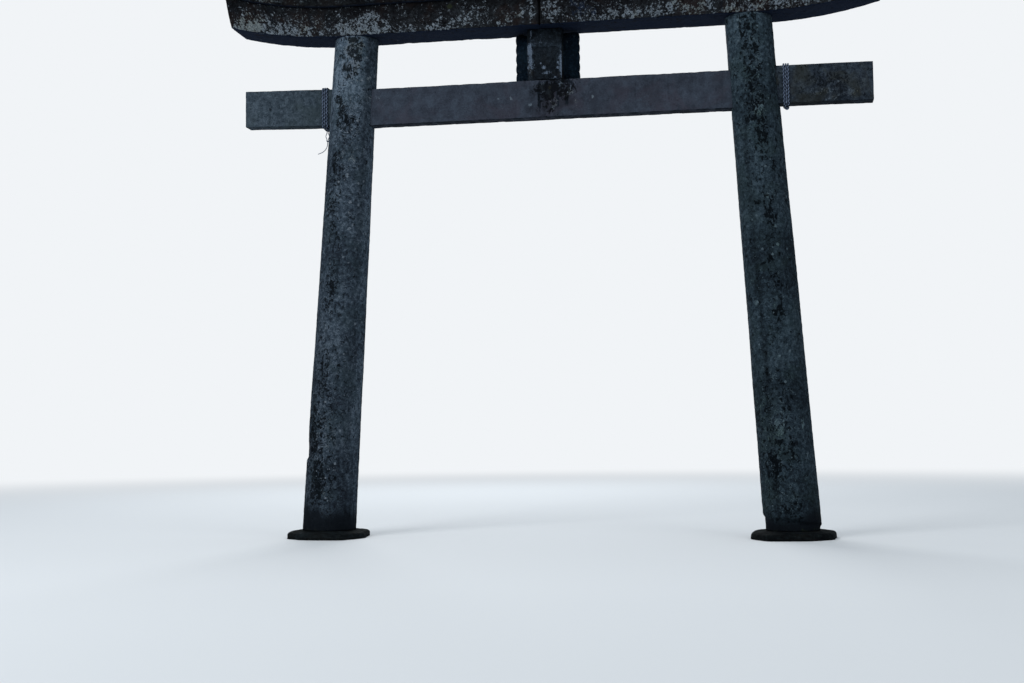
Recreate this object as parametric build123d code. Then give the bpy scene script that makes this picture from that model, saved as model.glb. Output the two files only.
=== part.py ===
from build123d import *
import os
from math import cos, radians, sin, sqrt, tan

# Stone torii gate: two leaning round pillars on flat base stones, a tie beam in three
# stones, a strut with a tablet, and a lower and an upper lintel with upswept ends.
# Millimetres. +Z is up, +X runs along the beams and -Y is the side with the bare strut.
# The origin is on the ground, midway between the pillars.

# Pillars
foot_spacing = 5166        # between the two pillar axes at ground level
pillar_lean = 3.69         # degrees, each pillar towards the middle
foot_radius = 303
top_radius = 249.3

# Base stones, flat irregular slabs that the pillars stand on
base_width = 930           # along X
base_depth = 1000          # along Y
base_height = 88
base_corner_radius = 110
base_edge_bevel = 20

# Heights of the beams above the ground
nuki_underside = 4660
shimaki_underside = 5665

# Tie beam, a middle stone and two nose stones that meet inside the pillars
nuki_height = 424
nuki_thickness = 183
nuki_edge_radius = 9
nose_height = 424
nose_lift = 22             # of its underside above the middle stone's
nose_reach = 3535          # from the middle of the gate to the end of a nose
left_nose_rise = 26        # at its end
right_nose_rise = -6
nose_edge_radius = 14
stone_gap = 8              # between the stones that meet inside a pillar
mortise_side_gap = 3
mortise_top_gap = 5

# Lower and upper lintel, each of two stones
lintel_flat_reach = 2350   # from the middle to where the curve begins
lintel_curve_radius = 5000
lintel_joint_place = -60   # where the two stones of a lintel meet, along X
lintel_joint_gap = 4
shimaki_height = 338
shimaki_depth = 495
shimaki_reach = 3650       # to the end of its underside
shimaki_edge_bevel = 9
kasagi_face_height = 265
kasagi_end_extra = 28      # how much taller the face grows at its ends
kasagi_ridge_rise = 105
kasagi_depth = 575
kasagi_reach = 3790        # to the end of its underside
kasagi_edge_bevel = 8
lintel_end_slant = 12      # degrees that the ends lean outwards at the top

# Strut between tie beam and lower lintel
strut_place = -32          # along X
strut_width = 392
strut_depth = 172
strut_side_border = 62
strut_top_border = 212
strut_bottom_border = 20
strut_recess = 10
strut_edge_radius = 4

# Tablet on the far face of the strut
tablet_shift = 12          # of its middle from the strut's, along X
tablet_width = 726
tablet_height = 566
tablet_panel_thickness = 32
tablet_border = 84
tablet_border_depth = 72
tablet_side_bumps = 5      # up each side
tablet_level_bumps = 6     # along the top and the bottom
tablet_bump_rise = 9
tablet_lift = 0.3          # of its lower edge above the top of the tie beam
tablet_corner_radius = 6

# Rope lashed round each nose, with a knot under it
rope_diameter = 20
rope_pitch = 24
rope_turns = 3
rope_skin_gap = 0.1        # between rope and stone
rope_sides = 6             # of the section of every rope and cord
rope_bend_corners = 3      # corners in each bend of a lashing, in place of an arc
left_rope_distance = 52    # middle of the lashing to the side of the pillar
right_rope_distance = 87
knot_width = 44
knot_depth = 36
knot_height = 34
knot_bevel = 9
knot_strand_offset = 10    # of the two rope ends from the middle of the knot
rope_lead = 16             # straight rope beside the knot

# Thin cord that hangs under the left knot: a small bow, a second knot and a tail
cord_diameter = 9
cord_fill = 0.45           # share of the shorter run that an arc takes up
small_knot_width = 34
small_knot_depth = 26
small_knot_height = 24
small_knot_bevel = 5
# Route of one strand of the bow, from the middle of the small knot's top: out, aside, up
bow_route = [
    (7, 0, 92),
    (7, 0, 79),
    (14, 1, 64),
    (20, 2, 48),
    (19, 2, 31),
    (8, 0, 14),
    (8, 0, 0),
]
# Route of the tail from the middle of the small knot's underside, along X, Y and Z
tail_route = [
    (0, 0, 0),
    (0, 0, -31),
    (-9, -4, -67),
    (-32, -8, -101),
    (-69, -10, -125),
    (-112, -8, -136),
]

sides = {"left": -1, "right": 1}
nose_underside = nuki_underside + nose_lift


def axis_place(height):
    """Distance from the middle of the gate to a pillar axis at a height."""
    return foot_spacing / 2 - height * tan(radians(pillar_lean))


def pillar_radius(height):
    """Radius of a pillar at a height, taken straight between its two ends."""
    share = height / shimaki_underside
    return foot_radius + (top_radius - foot_radius) * share


def block(x_range, y_range, z_range):
    """Box between three pairs of limits."""
    centre = [(low + high) / 2 for low, high in (x_range, y_range, z_range)]
    lengths = [high - low for low, high in (x_range, y_range, z_range)]
    return Pos(*centre) * Box(*lengths)


def mortise(side):
    """Stepped hole through a pillar for the middle stone and the nose."""
    half_width = nuki_thickness / 2 + mortise_side_gap
    middle = axis_place(nuki_underside)
    inner = block(
        (0, middle),
        (-half_width, half_width),
        (nuki_underside, nuki_underside + nuki_height + mortise_top_gap),
    )
    outer = block(
        (middle, foot_spacing),
        (-half_width, half_width),
        (nose_underside, nose_underside + nose_height + mortise_top_gap),
    )
    hole = inner + outer
    return hole if side > 0 else mirror(hole, about=Plane.YZ)


def pillar(side):
    """Round pillar, tapering and leaning inwards, cut level at both ends."""
    low = -foot_radius
    high = shimaki_underside + foot_radius
    shaft = Cone(pillar_radius(low), pillar_radius(high), high - low)
    upright = Pos(0, 0, (low + high) / 2) * shaft
    leaning = Pos(side * foot_spacing / 2, 0, 0) * Rot(0, -side * pillar_lean, 0) * upright
    keep = block(
        (-foot_spacing, foot_spacing),
        (-foot_spacing, foot_spacing),
        (base_height, shimaki_underside),
    )
    return (leaning & keep) - mortise(side)


def base_stone(side):
    """Low slab with an irregular rounded outline and a worn upper edge."""
    half_x = base_width / 2
    half_y = base_depth / 2
    outline = [
        (-0.62 * half_x, -half_y),
        (0.34 * half_x, -0.96 * half_y),
        (0.88 * half_x, -0.58 * half_y),
        (half_x, 0.22 * half_y),
        (0.66 * half_x, 0.90 * half_y),
        (-0.22 * half_x, half_y),
        (-0.86 * half_x, 0.70 * half_y),
        (-half_x, -0.36 * half_y),
    ]
    corners = [(side * x, y) for x, y in outline]
    with BuildPart() as slab:
        with BuildSketch():
            with BuildLine():
                Polyline(*corners, close=True)
            make_face()
            fillet(vertices(), base_corner_radius)
        extrude(amount=base_height)
        chamfer(faces().sort_by(Axis.Z)[-1].edges(), base_edge_bevel)
    return Pos(side * foot_spacing / 2, 0, 0) * slab.part


def nuki_middle():
    """Middle stone of the tie beam, from inside one pillar to inside the other."""
    half_length = axis_place(nuki_underside) - stone_gap
    stone = block(
        (-half_length, half_length),
        (-nuki_thickness / 2, nuki_thickness / 2),
        (nuki_underside, nuki_underside + nuki_height),
    )
    return fillet(stone.edges().filter_by(Axis.X), nuki_edge_radius)


def nose_rise(side):
    """Height that a nose gains from its pillar to its end."""
    return right_nose_rise if side > 0 else left_nose_rise


def nose_root():
    """Distance from the middle of the gate to where a nose has left its pillar."""
    return axis_place(nuki_underside) + pillar_radius(nuki_underside) + mortise_side_gap


def nuki_nose(side):
    """Outer stone of the tie beam: level in its pillar, then slightly tilted."""
    start = axis_place(nuki_underside)
    low = nose_underside
    high = nose_underside + nose_height
    rise = nose_rise(side)
    with BuildPart() as stone:
        with BuildSketch(Plane.XZ):
            with BuildLine():
                Polyline(
                    (side * start, low),
                    (side * nose_root(), low),
                    (side * nose_reach, low + rise),
                    (side * nose_reach, high + rise),
                    (side * nose_root(), high),
                    (side * start, high),
                    close=True,
                )
            make_face()
        extrude(amount=nuki_thickness / 2, both=True)
        long_edges = [
            edge
            for edge in edges()
            if abs(edge.tangent_at(0.5).X) > 0.9 or abs(edge.center().X) > nose_reach - 1
        ]
        fillet(long_edges, nose_edge_radius)
    return stone.part


def curve_point(start, radius, along):
    """Point on a curve that leaves start level and bends upwards, at a distance along X."""
    return (start[0] + along, start[1] + radius - sqrt(radius**2 - along**2))


def upswept_outline(low, high, reach, low_radius, high_radius):
    """Side view of half a lintel, from the middle out past its end.

    low and high are the heights of its two edges above the underside of the lower
    lintel. Both edges are level up to the place where they curve upwards.
    """
    along = reach - lintel_flat_reach
    low_start = (lintel_flat_reach, shimaki_underside + low)
    high_start = (lintel_flat_reach, shimaki_underside + high)
    low_end = curve_point(low_start, low_radius, along)
    high_end = curve_point(high_start, high_radius, along)
    low_middle = curve_point(low_start, low_radius, along / 2)
    high_middle = curve_point(high_start, high_radius, along / 2)
    with BuildLine() as outline:
        Line((0, low_start[1]), low_start)
        ThreePointArc(low_start, low_middle, low_end)
        Line(low_end, high_end)
        ThreePointArc(high_end, high_middle, high_start)
        Line(high_start, (0, high_start[1]))
        Line((0, high_start[1]), (0, low_start[1]))
    return outline.line


def end_plane(low, reach, low_radius):
    """Plane of a lintel's right end, leaning outwards, through the end of its underside."""
    start = (lintel_flat_reach, shimaki_underside + low)
    corner = curve_point(start, low_radius, reach - lintel_flat_reach)
    slant = radians(lintel_end_slant)
    return Plane(origin=(corner[0], 0, corner[1]), z_dir=(cos(slant), 0, -sin(slant)))


def spare_reach(reach, height):
    """A reach that is long enough for the slanted cut across a lintel's end."""
    return reach + 2 * height * tan(radians(lintel_end_slant))


def lintel_stone(side, right_half, edge_bevel):
    """One of the two stones of a lintel, cut at the joint, its other edges bevelled."""
    whole = right_half + mirror(right_half, about=Plane.YZ)
    edge = lintel_joint_place + side * lintel_joint_gap / 2
    far = side * kasagi_reach * 2
    keep = block(
        (min(edge, far), max(edge, far)),
        (-kasagi_depth, kasagi_depth),
        (0, shimaki_underside * 2),
    )
    stone = whole & keep
    worn = [piece_edge for piece_edge in stone.edges() if abs(piece_edge.center().X - edge) > 1]
    return chamfer(worn, edge_bevel)


def shimaki(side):
    """One stone of the lower lintel, a curved beam of rectangular section."""
    high_radius = lintel_curve_radius - shimaki_height
    reach = spare_reach(shimaki_reach, shimaki_height)
    outline = upswept_outline(0, shimaki_height, reach, lintel_curve_radius, high_radius)
    half = extrude(make_face(Plane.XZ * outline), amount=shimaki_depth / 2, both=True)
    half = split(half, end_plane(0, shimaki_reach, lintel_curve_radius), keep=Keep.BOTTOM)
    return lintel_stone(side, half, shimaki_edge_bevel)


def kasagi(side):
    """One stone of the upper lintel: upright faces under a low two-sided roof."""
    low = shimaki_height
    eave = low + kasagi_face_height
    ridge = eave + kasagi_ridge_rise
    low_radius = lintel_curve_radius - low
    eave_radius = low_radius - kasagi_face_height - kasagi_end_extra
    ridge_radius = eave_radius - kasagi_ridge_rise - kasagi_end_extra
    reach = spare_reach(kasagi_reach, ridge - low)
    face = upswept_outline(low, eave, reach, low_radius, eave_radius)
    middle = upswept_outline(low, ridge, reach, low_radius, ridge_radius)
    front = make_face(Plane.XZ.offset(kasagi_depth / 2) * face)
    centre = make_face(Plane.XZ * middle)
    slope = loft([front, centre], ruled=True)
    half = slope + mirror(slope, about=Plane.XZ)
    half = split(half, end_plane(low, kasagi_reach, low_radius), keep=Keep.BOTTOM)
    return lintel_stone(side, half, kasagi_edge_bevel)


def gakuzuka():
    """Strut between tie beam and lower lintel, its near face sunk inside a border."""
    low = nuki_underside + nuki_height
    half_width = strut_width / 2
    half_depth = strut_depth / 2
    stone = block((-half_width, half_width), (-half_depth, half_depth), (low, shimaki_underside))
    stone = fillet(stone.edges().filter_by(Axis.Z), strut_edge_radius)
    panel = half_width - strut_side_border
    recess = block(
        (-panel, panel),
        (-half_depth - strut_recess, -half_depth + strut_recess),
        (low + strut_bottom_border, shimaki_underside - strut_top_border),
    )
    return Pos(strut_place, 0, 0) * (stone - recess)


def bumpy_side(start, end, count):
    """Arcs of equal length from start to end, each bulging out to the right of the way."""
    length = sqrt((end[0] - start[0]) ** 2 + (end[1] - start[1]) ** 2)
    out = ((end[1] - start[1]) / length, -(end[0] - start[0]) / length)
    for index in range(count):
        shares = (index / count, (index + 0.5) / count, (index + 1) / count)
        low, middle, high = (
            tuple(a + (b - a) * share for a, b in zip(start, end)) for share in shares
        )
        crest = tuple(place + tablet_bump_rise * way for place, way in zip(middle, out))
        ThreePointArc(low, crest, high)


def tablet_place():
    """Move from the middle of the tablet's back to its place on the strut's far face."""
    low = nuki_underside + nuki_height + tablet_lift
    return Pos(strut_place + tablet_shift, strut_depth / 2, low + tablet_height / 2)


def tablet_frame():
    """Deep border of the tablet with a wavy outline, its back flat on the strut."""
    x = tablet_width / 2 - tablet_bump_rise
    z = tablet_height / 2 - tablet_bump_rise
    inner_x = tablet_width / 2 - tablet_border
    inner_z = tablet_height / 2 - tablet_border
    with BuildPart() as frame:
        with BuildSketch(Plane.XZ):
            with BuildLine():
                bumpy_side((-x, -z), (x, -z), tablet_level_bumps)
                bumpy_side((x, -z), (x, z), tablet_side_bumps)
                bumpy_side((x, z), (-x, z), tablet_level_bumps)
                bumpy_side((-x, z), (-x, -z), tablet_side_bumps)
            make_face()
            Rectangle(2 * inner_x, 2 * inner_z, mode=Mode.SUBTRACT)
        extrude(amount=-tablet_border_depth)
        chamfer(faces().sort_by(Axis.Y)[-1].inner_wires()[0].edges(), tablet_corner_radius)
    return tablet_place() * frame.part


def tablet_panel():
    """Plain board inside the tablet's border, its back level with the border's."""
    width = tablet_width - 2 * tablet_border
    height = tablet_height - 2 * tablet_border
    board = block(
        (-width / 2, width / 2),
        (0, tablet_panel_thickness),
        (-height / 2, height / 2),
    )
    return tablet_place() * board


def rope_place(side):
    """Distance from the middle of the gate to the middle turn of a lashing."""
    height = nose_underside + nose_height / 2
    from_pillar = right_rope_distance if side > 0 else left_rope_distance
    return axis_place(height) + pillar_radius(height) + from_pillar


def nose_shift(side, distance):
    """Height that a nose has gained at a distance from the middle of the gate."""
    return nose_rise(side) * (distance - nose_root()) / (nose_reach - nose_root())


def cornered_bend(before, here, after, radius):
    """Points of a bend in a few even corners, drawn round the outside of its arc."""
    way_in = (Vector(*here) - Vector(*before)).normalized()
    way_out = (Vector(*after) - Vector(*here)).normalized()
    turn = radians(way_in.get_angle(way_out))
    inwards = (way_out - way_in * cos(turn)).normalized()
    centre = Vector(*here) - way_in * radius * tan(turn / 2) + inwards * radius
    reach = radius / cos(turn / (2 * rope_bend_corners))
    points = []
    for index in range(rope_bend_corners):
        angle = turn * (index + 0.5) / rope_bend_corners
        points.append(centre + way_in * reach * sin(angle) - inwards * reach * cos(angle))
    return points


def cord_radii(points):
    """Radius of the arc at each inner point of a hanging cord, as large as its runs allow."""
    radii = []
    for before, here, after in zip(points, points[1:], points[2:]):
        run_in = Vector(*here) - Vector(*before)
        run_out = Vector(*after) - Vector(*here)
        half_turn = radians(run_in.get_angle(run_out) / 2)
        radii.append(cord_fill * min(run_in.length, run_out.length) / tan(half_turn))
    return radii


def cord(name, points):
    """Hanging cord along its points, with its radii and its length printed."""
    radii = cord_radii(points)
    path = FilletPolyline(*points, radius=radii)
    section = RegularPolygon(cord_diameter / 2, rope_sides)
    piece = sweep(Plane(origin=path @ 0, z_dir=path % 0) * section, path=path)
    length = piece.volume / RegularPolygon(cord_diameter / 2, rope_sides).area
    print(name, "radii", [round(radius) for radius in radii], "length", round(length))
    return piece


def lashing(side):
    """Turns of rope round a nose, both ends leading down to the knot."""
    reach = rope_diameter / 2 + rope_skin_gap
    y = nuki_thickness / 2 + reach
    y_knot = knot_depth / 2
    knot_z = knot_top(side) - knot_height / 2
    points = [
        (-knot_strand_offset, -y_knot, knot_z),
        (-knot_strand_offset, -y_knot - rope_lead, knot_z),
    ]
    for turn in range(rope_turns):
        x = (turn - (rope_turns - 1) / 2) * rope_pitch
        low = nose_underside + nose_shift(side, rope_place(side) + side * x) - reach
        high = low + nose_height + 2 * reach
        points += [(x, -y, low), (x, -y, high), (x, y, high), (x, y, low)]
    points += [
        (knot_strand_offset, y_knot + rope_lead, knot_z),
        (knot_strand_offset, y_knot, knot_z),
    ]
    route = [Vector(*points[0])]
    for before, here, after in zip(points, points[1:], points[2:]):
        route += cornered_bend(before, here, after, nose_edge_radius + reach)
    path = Polyline(*route, Vector(*points[-1]))
    start = Plane(origin=path @ 0, x_dir=(0, 0, 1), z_dir=path % 0)
    section = RegularPolygon(rope_diameter / 2, rope_sides)
    rope = sweep(start * section, path=path, transition=Transition.RIGHT)
    return Pos(side * rope_place(side), 0, 0) * rope


def knot_top(side):
    """Height of the top of a knot, just under the rope that crosses the underside."""
    outer_turns = [rope_place(side) + way * rope_pitch for way in (-1, 1)]
    shift = min(nose_shift(side, distance) for distance in outer_turns)
    return nose_underside + shift - rope_diameter - 2 * rope_skin_gap


def lump(width, depth, height, bevel):
    """Blunt lump of a knot, hanging down from the origin."""
    knot = Pos(0, 0, -height / 2) * Box(width, depth, height)
    return chamfer(knot.edges(), bevel)


def knot(side):
    """Knot of a lashing, under the nose."""
    piece = lump(knot_width, knot_depth, knot_height, knot_bevel)
    return Pos(side * rope_place(side), 0, knot_top(side)) * piece


def bow_foot():
    """Middle of the small knot's top, at the lower end of the bow."""
    side = sides["left"]
    bow_height = bow_route[0][2]
    return Vector(side * rope_place(side), 0, knot_top(side) - knot_height - bow_height)


def small_knot():
    """Second knot, where the two strands of the bow meet."""
    piece = lump(small_knot_width, small_knot_depth, small_knot_height, small_knot_bevel)
    return Pos(bow_foot()) * piece


def bow_strand(name, way):
    """One strand of the bow, bulging towards one side between the two knots."""
    foot = bow_foot()
    return cord(name, [foot + Vector(way * x, y, z) for x, y, z in bow_route])


def tail(name):
    """Free end of the cord, hanging from the small knot."""
    start = bow_foot() - Vector(0, 0, small_knot_height)
    return cord(name, [start + Vector(*step) for step in tail_route])


def main():
    os.makedirs("parts", exist_ok=True)
    pieces = {}
    for name, side in sides.items():
        pieces["pillar_" + name] = pillar(side)
        pieces["base_stone_" + name] = base_stone(side)
        pieces["nuki_nose_" + name] = nuki_nose(side)
        pieces["shimaki_" + name] = shimaki(side)
        pieces["kasagi_" + name] = kasagi(side)
        pieces["rope_lashing_" + name] = lashing(side)
        pieces["rope_knot_" + name] = knot(side)
        pieces["bow_strand_" + name] = bow_strand("bow_strand_" + name, side)
    pieces["nuki_middle"] = nuki_middle()
    pieces["gakuzuka"] = gakuzuka()
    pieces["tablet_frame"] = tablet_frame()
    pieces["tablet_panel"] = tablet_panel()
    pieces["bow_knot"] = small_knot()
    pieces["rope_tail"] = tail("rope_tail")
    for name, piece in pieces.items():
        export_step(piece, "parts/" + name + ".step")


main()
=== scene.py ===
import math

import bmesh
import bpy
import numpy as np
from mathutils import Matrix, Vector, noise


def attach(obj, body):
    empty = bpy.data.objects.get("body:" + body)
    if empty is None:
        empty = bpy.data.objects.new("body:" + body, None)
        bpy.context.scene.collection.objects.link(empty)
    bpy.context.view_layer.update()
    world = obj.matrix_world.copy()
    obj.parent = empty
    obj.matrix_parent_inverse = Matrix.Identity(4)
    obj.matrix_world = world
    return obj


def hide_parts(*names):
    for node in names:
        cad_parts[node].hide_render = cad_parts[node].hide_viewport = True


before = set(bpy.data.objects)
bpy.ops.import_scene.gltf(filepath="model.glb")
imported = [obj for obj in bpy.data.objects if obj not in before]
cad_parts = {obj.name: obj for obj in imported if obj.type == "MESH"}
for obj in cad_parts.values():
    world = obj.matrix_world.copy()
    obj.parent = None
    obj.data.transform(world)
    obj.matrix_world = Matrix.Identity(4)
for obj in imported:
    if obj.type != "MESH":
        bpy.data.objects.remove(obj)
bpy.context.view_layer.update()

print("frame loaded")


def paint(code):  # colour from six hex digits, as it should look on screen
    parts = [int(code[i:i + 2], 16) / 255 for i in (0, 2, 4)]
    return tuple(c / 12.92 if c <= 0.04045 else ((c + 0.055) / 1.055) ** 2.4 for c in parts) + (1.0,)


gate = {  # metres, as the solids have them
    "footSpacing": 5.166,
    "lean": 3.69,           # degrees, each pillar towards the middle
    "footRadius": 0.303,
    "topRadius": 0.2493,
    "pillarFoot": 0.088,
    "pillarTop": 5.665,
    "beamHalf": 0.0915,     # half the thickness of the tie beam
    "beamLow": 4.660,
    "beamHigh": 5.084,
    "noseLow": 4.682,
    "noseHigh": 5.106,
    "noseRoot": 2.5443,     # from the middle of the gate to where a nose has left its pillar
    "noseReach": 3.535,
    "noseRise": {"left": 0.026, "right": -0.006},
    "strutMiddle": -0.032,
}
twoSides = (("left", -1), ("right", 1))


def addObject(name, data):
    made = bpy.data.objects.new(name, data)
    bpy.context.scene.collection.objects.link(made)
    return made


def makeObject(name, bm):  # takes over what is in the bmesh
    mesh = bpy.data.meshes.new(name)
    bm.to_mesh(mesh)
    bm.free()
    return addObject(name, mesh)


# Shader building blocks

def fill(tree, node, inputs):  # each input gets a value, or a link from another node's output
    for name, value in inputs.items():
        if isinstance(value, bpy.types.NodeSocket):
            tree.links.new(value, node.inputs[name])
        else:
            node.inputs[name].default_value = value


def addNode(tree, kind, inputs=None, **settings):
    node = tree.nodes.new("ShaderNode" + kind)
    for name, setting in settings.items():
        setattr(node, name, setting)
    fill(tree, node, inputs or {})
    return node


def startMaterial(name, inputs):
    material = bpy.data.materials.new(name)
    material.use_nodes = True
    tree = material.node_tree
    shader = tree.nodes["Principled BSDF"]
    fill(tree, shader, inputs)
    return material, tree, shader


def objectPlace(tree):
    return addNode(tree, "TexCoord").outputs["Object"]


def clouds(tree, place, scale, detail=4.0, roughness=0.6, twist=0.0):
    inputs = {"Vector": place, "Scale": scale, "Detail": detail, "Roughness": roughness}
    return addNode(tree, "TexNoise", dict(inputs, Distortion=twist)).outputs["Fac"]


def crystals(tree, place, scale):  # distance to the nearest crystal and one random number for each
    node = addNode(tree, "TexVoronoi", {"Vector": place, "Scale": scale})
    kind = addNode(tree, "SeparateColor", {0: node.outputs["Color"]}).outputs[0]
    return node.outputs["Distance"], kind


def soften(tree, value, low, high, start=0.0, end=1.0, way="SMOOTHSTEP"):  # soft step of a value
    inputs = {"Value": value, "From Min": low, "From Max": high, "To Min": start, "To Max": end}
    return addNode(tree, "MapRange", inputs, interpolation_type=way).outputs["Result"]


def reckon(tree, operation, first, second=0.0, third=0.0):
    return addNode(tree, "Math", {0: first, 1: second, 2: third}, operation=operation).outputs[0]


def sway(tree, pattern, amount, level):  # adds a pattern's swing about its middle to a level
    return reckon(tree, "MULTIPLY_ADD", reckon(tree, "SUBTRACT", pattern, 0.5), amount, level)


def lay(tree, amount, under, over, way="MIX"):  # one colour laid over another
    colours = {0: amount, 6: under, 7: over}
    return addNode(tree, "Mix", colours, data_type="RGBA", blend_type=way).outputs[2]


def stretch(tree, place, scale, shift=(0.0, 0.0, 0.0)):
    inputs = {"Vector": place, "Scale": scale, "Location": shift}
    return addNode(tree, "Mapping", inputs).outputs["Vector"]


def mark(tree, name, output="Fac"):  # what was painted on the piece under this name
    return addNode(tree, "Attribute", attribute_name=name).outputs[output]


def lookNoise(tree, look, name, place):  # the noise that a look describes under this name
    return clouds(tree, place, look[name + "Scale"], *look[name + "Noise"])


def layCover(tree, look, name, level, colour):  # over a colour, where the level is high
    mask = soften(tree, level, *look[name + "Edge"], 0.0, look[name + "Pull"])
    return lay(tree, mask, colour, look[name])


def relief(tree, height, depth, below=None):
    inputs = {"Strength": 1.0, "Distance": depth, "Height": height}
    if below is not None:
        inputs["Normal"] = below
    return addNode(tree, "Bump", inputs).outputs["Normal"]


# Camera, floor and lights

cameraLook = {
    "eye": (2.326, -15.853, 1.246),
    "turn": 9.94,          # degrees from straight ahead, towards the left
    "tilt": 3.29,          # degrees upwards
    "roll": -0.68,
    "focalPixels": 1446,
    "frameWidth": 1024,
    "sensor": 36.0,
    "farthest": 500.0,
}


def makeCamera(look):
    data = bpy.data.cameras.new("photoCamera")
    data.sensor_width = look["sensor"]
    data.lens = look["focalPixels"] / look["frameWidth"] * look["sensor"]
    data.clip_end = look["farthest"]
    camera = addObject("photoCamera", data)
    turn = Matrix.Rotation(math.radians(look["turn"]), 4, "Z")
    tilt = Matrix.Rotation(math.radians(90 + look["tilt"]), 4, "X")
    roll = Matrix.Rotation(math.radians(look["roll"]), 4, "Z")
    camera.matrix_world = Matrix.Translation(look["eye"]) @ turn @ tilt @ roll
    bpy.context.scene.camera = camera


studio = {
    "floorSize": 400.0,
    "floorColour": paint("d3d7da"),
    "skyColour": paint("f1f4f7"),
    "fadeStart": 9.0,      # metres from the middle where the floor begins to melt into the sky
    "fadeEnd": 26.0,
    "skyLight": (0.86, 0.93, 1.0, 1.0),
    "skyStrength": 0.62,
    "lamps": [  # name, place, aim, side length, watts
        ("frontLeftLamp", (-9.0, -13.0, 12.0), (0.0, 0.0, 3.0), 8.0, 1500.0),
        ("frontRightLamp", (12.0, -10.0, 8.0), (0.0, 0.0, 3.0), 8.0, 350.0),
        ("backLamp", (-4.0, 14.0, 12.0), (0.0, 0.0, 4.0), 8.0, 1400.0),
    ],
}


def showToCamera(tree, amount, lit, seen, output):  # the camera alone sees the second of the two
    rays = addNode(tree, "LightPath").outputs["Is Camera Ray"]
    share = reckon(tree, "MULTIPLY", rays, amount)
    pick = addNode(tree, "MixShader", {0: share, 1: lit.outputs[0], 2: seen.outputs[0]})
    fill(tree, output, {"Surface": pick.outputs[0]})


def makeFloor(look):  # far from the middle it melts into the sky
    bm = bmesh.new()
    bmesh.ops.create_grid(bm, x_segments=1, y_segments=1, size=look["floorSize"] / 2)
    floor = makeObject("floor", bm)
    material, tree, shader = startMaterial("paleFloor", {
        "Base Color": look["floorColour"], "Roughness": 0.9, "Specular IOR Level": 0.2})
    glow = addNode(tree, "Emission", {"Color": look["skyColour"]})
    reach = addNode(tree, "VectorMath", {0: objectPlace(tree)}, operation="LENGTH").outputs["Value"]
    fade = soften(tree, reach, look["fadeStart"], look["fadeEnd"], way="SMOOTHERSTEP")
    showToCamera(tree, fade, shader, glow, tree.nodes["Material Output"])
    floor.data.materials.append(material)


def makeSky(look):  # the camera sees its colour, and its light falls on the stone
    world = bpy.data.worlds.new("studioSky")
    world.use_nodes = True
    tree = world.node_tree
    tree.nodes.clear()
    seen = addNode(tree, "Background", {"Color": look["skyColour"]})
    light = addNode(tree, "Background", {"Color": look["skyLight"], "Strength": look["skyStrength"]})
    showToCamera(tree, 1.0, light, seen, addNode(tree, "OutputWorld"))
    bpy.context.scene.world = world


def makeLamps(look):
    for name, place, aim, size, watts in look["lamps"]:
        data = bpy.data.lights.new(name, "AREA")
        data.size = size
        data.energy = watts
        lamp = addObject(name, data)
        lamp.location = place
        lamp.rotation_euler = (Vector(aim) - Vector(place)).to_track_quat("-Z", "Y").to_euler()


makeCamera(cameraLook)
makeFloor(studio)
makeSky(studio)
makeLamps(studio)
bpy.context.scene.view_settings.view_transform = "Standard"
print("camera and studio ready")


# Weathered granite. Its covers lie where they are painted on each stone. What ends in Edge holds the
# levels between which a colour gives way to the next, and what ends in Pull says how strongly. What
# ends in Noise holds the detail, roughness and twist of a noise.

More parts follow.
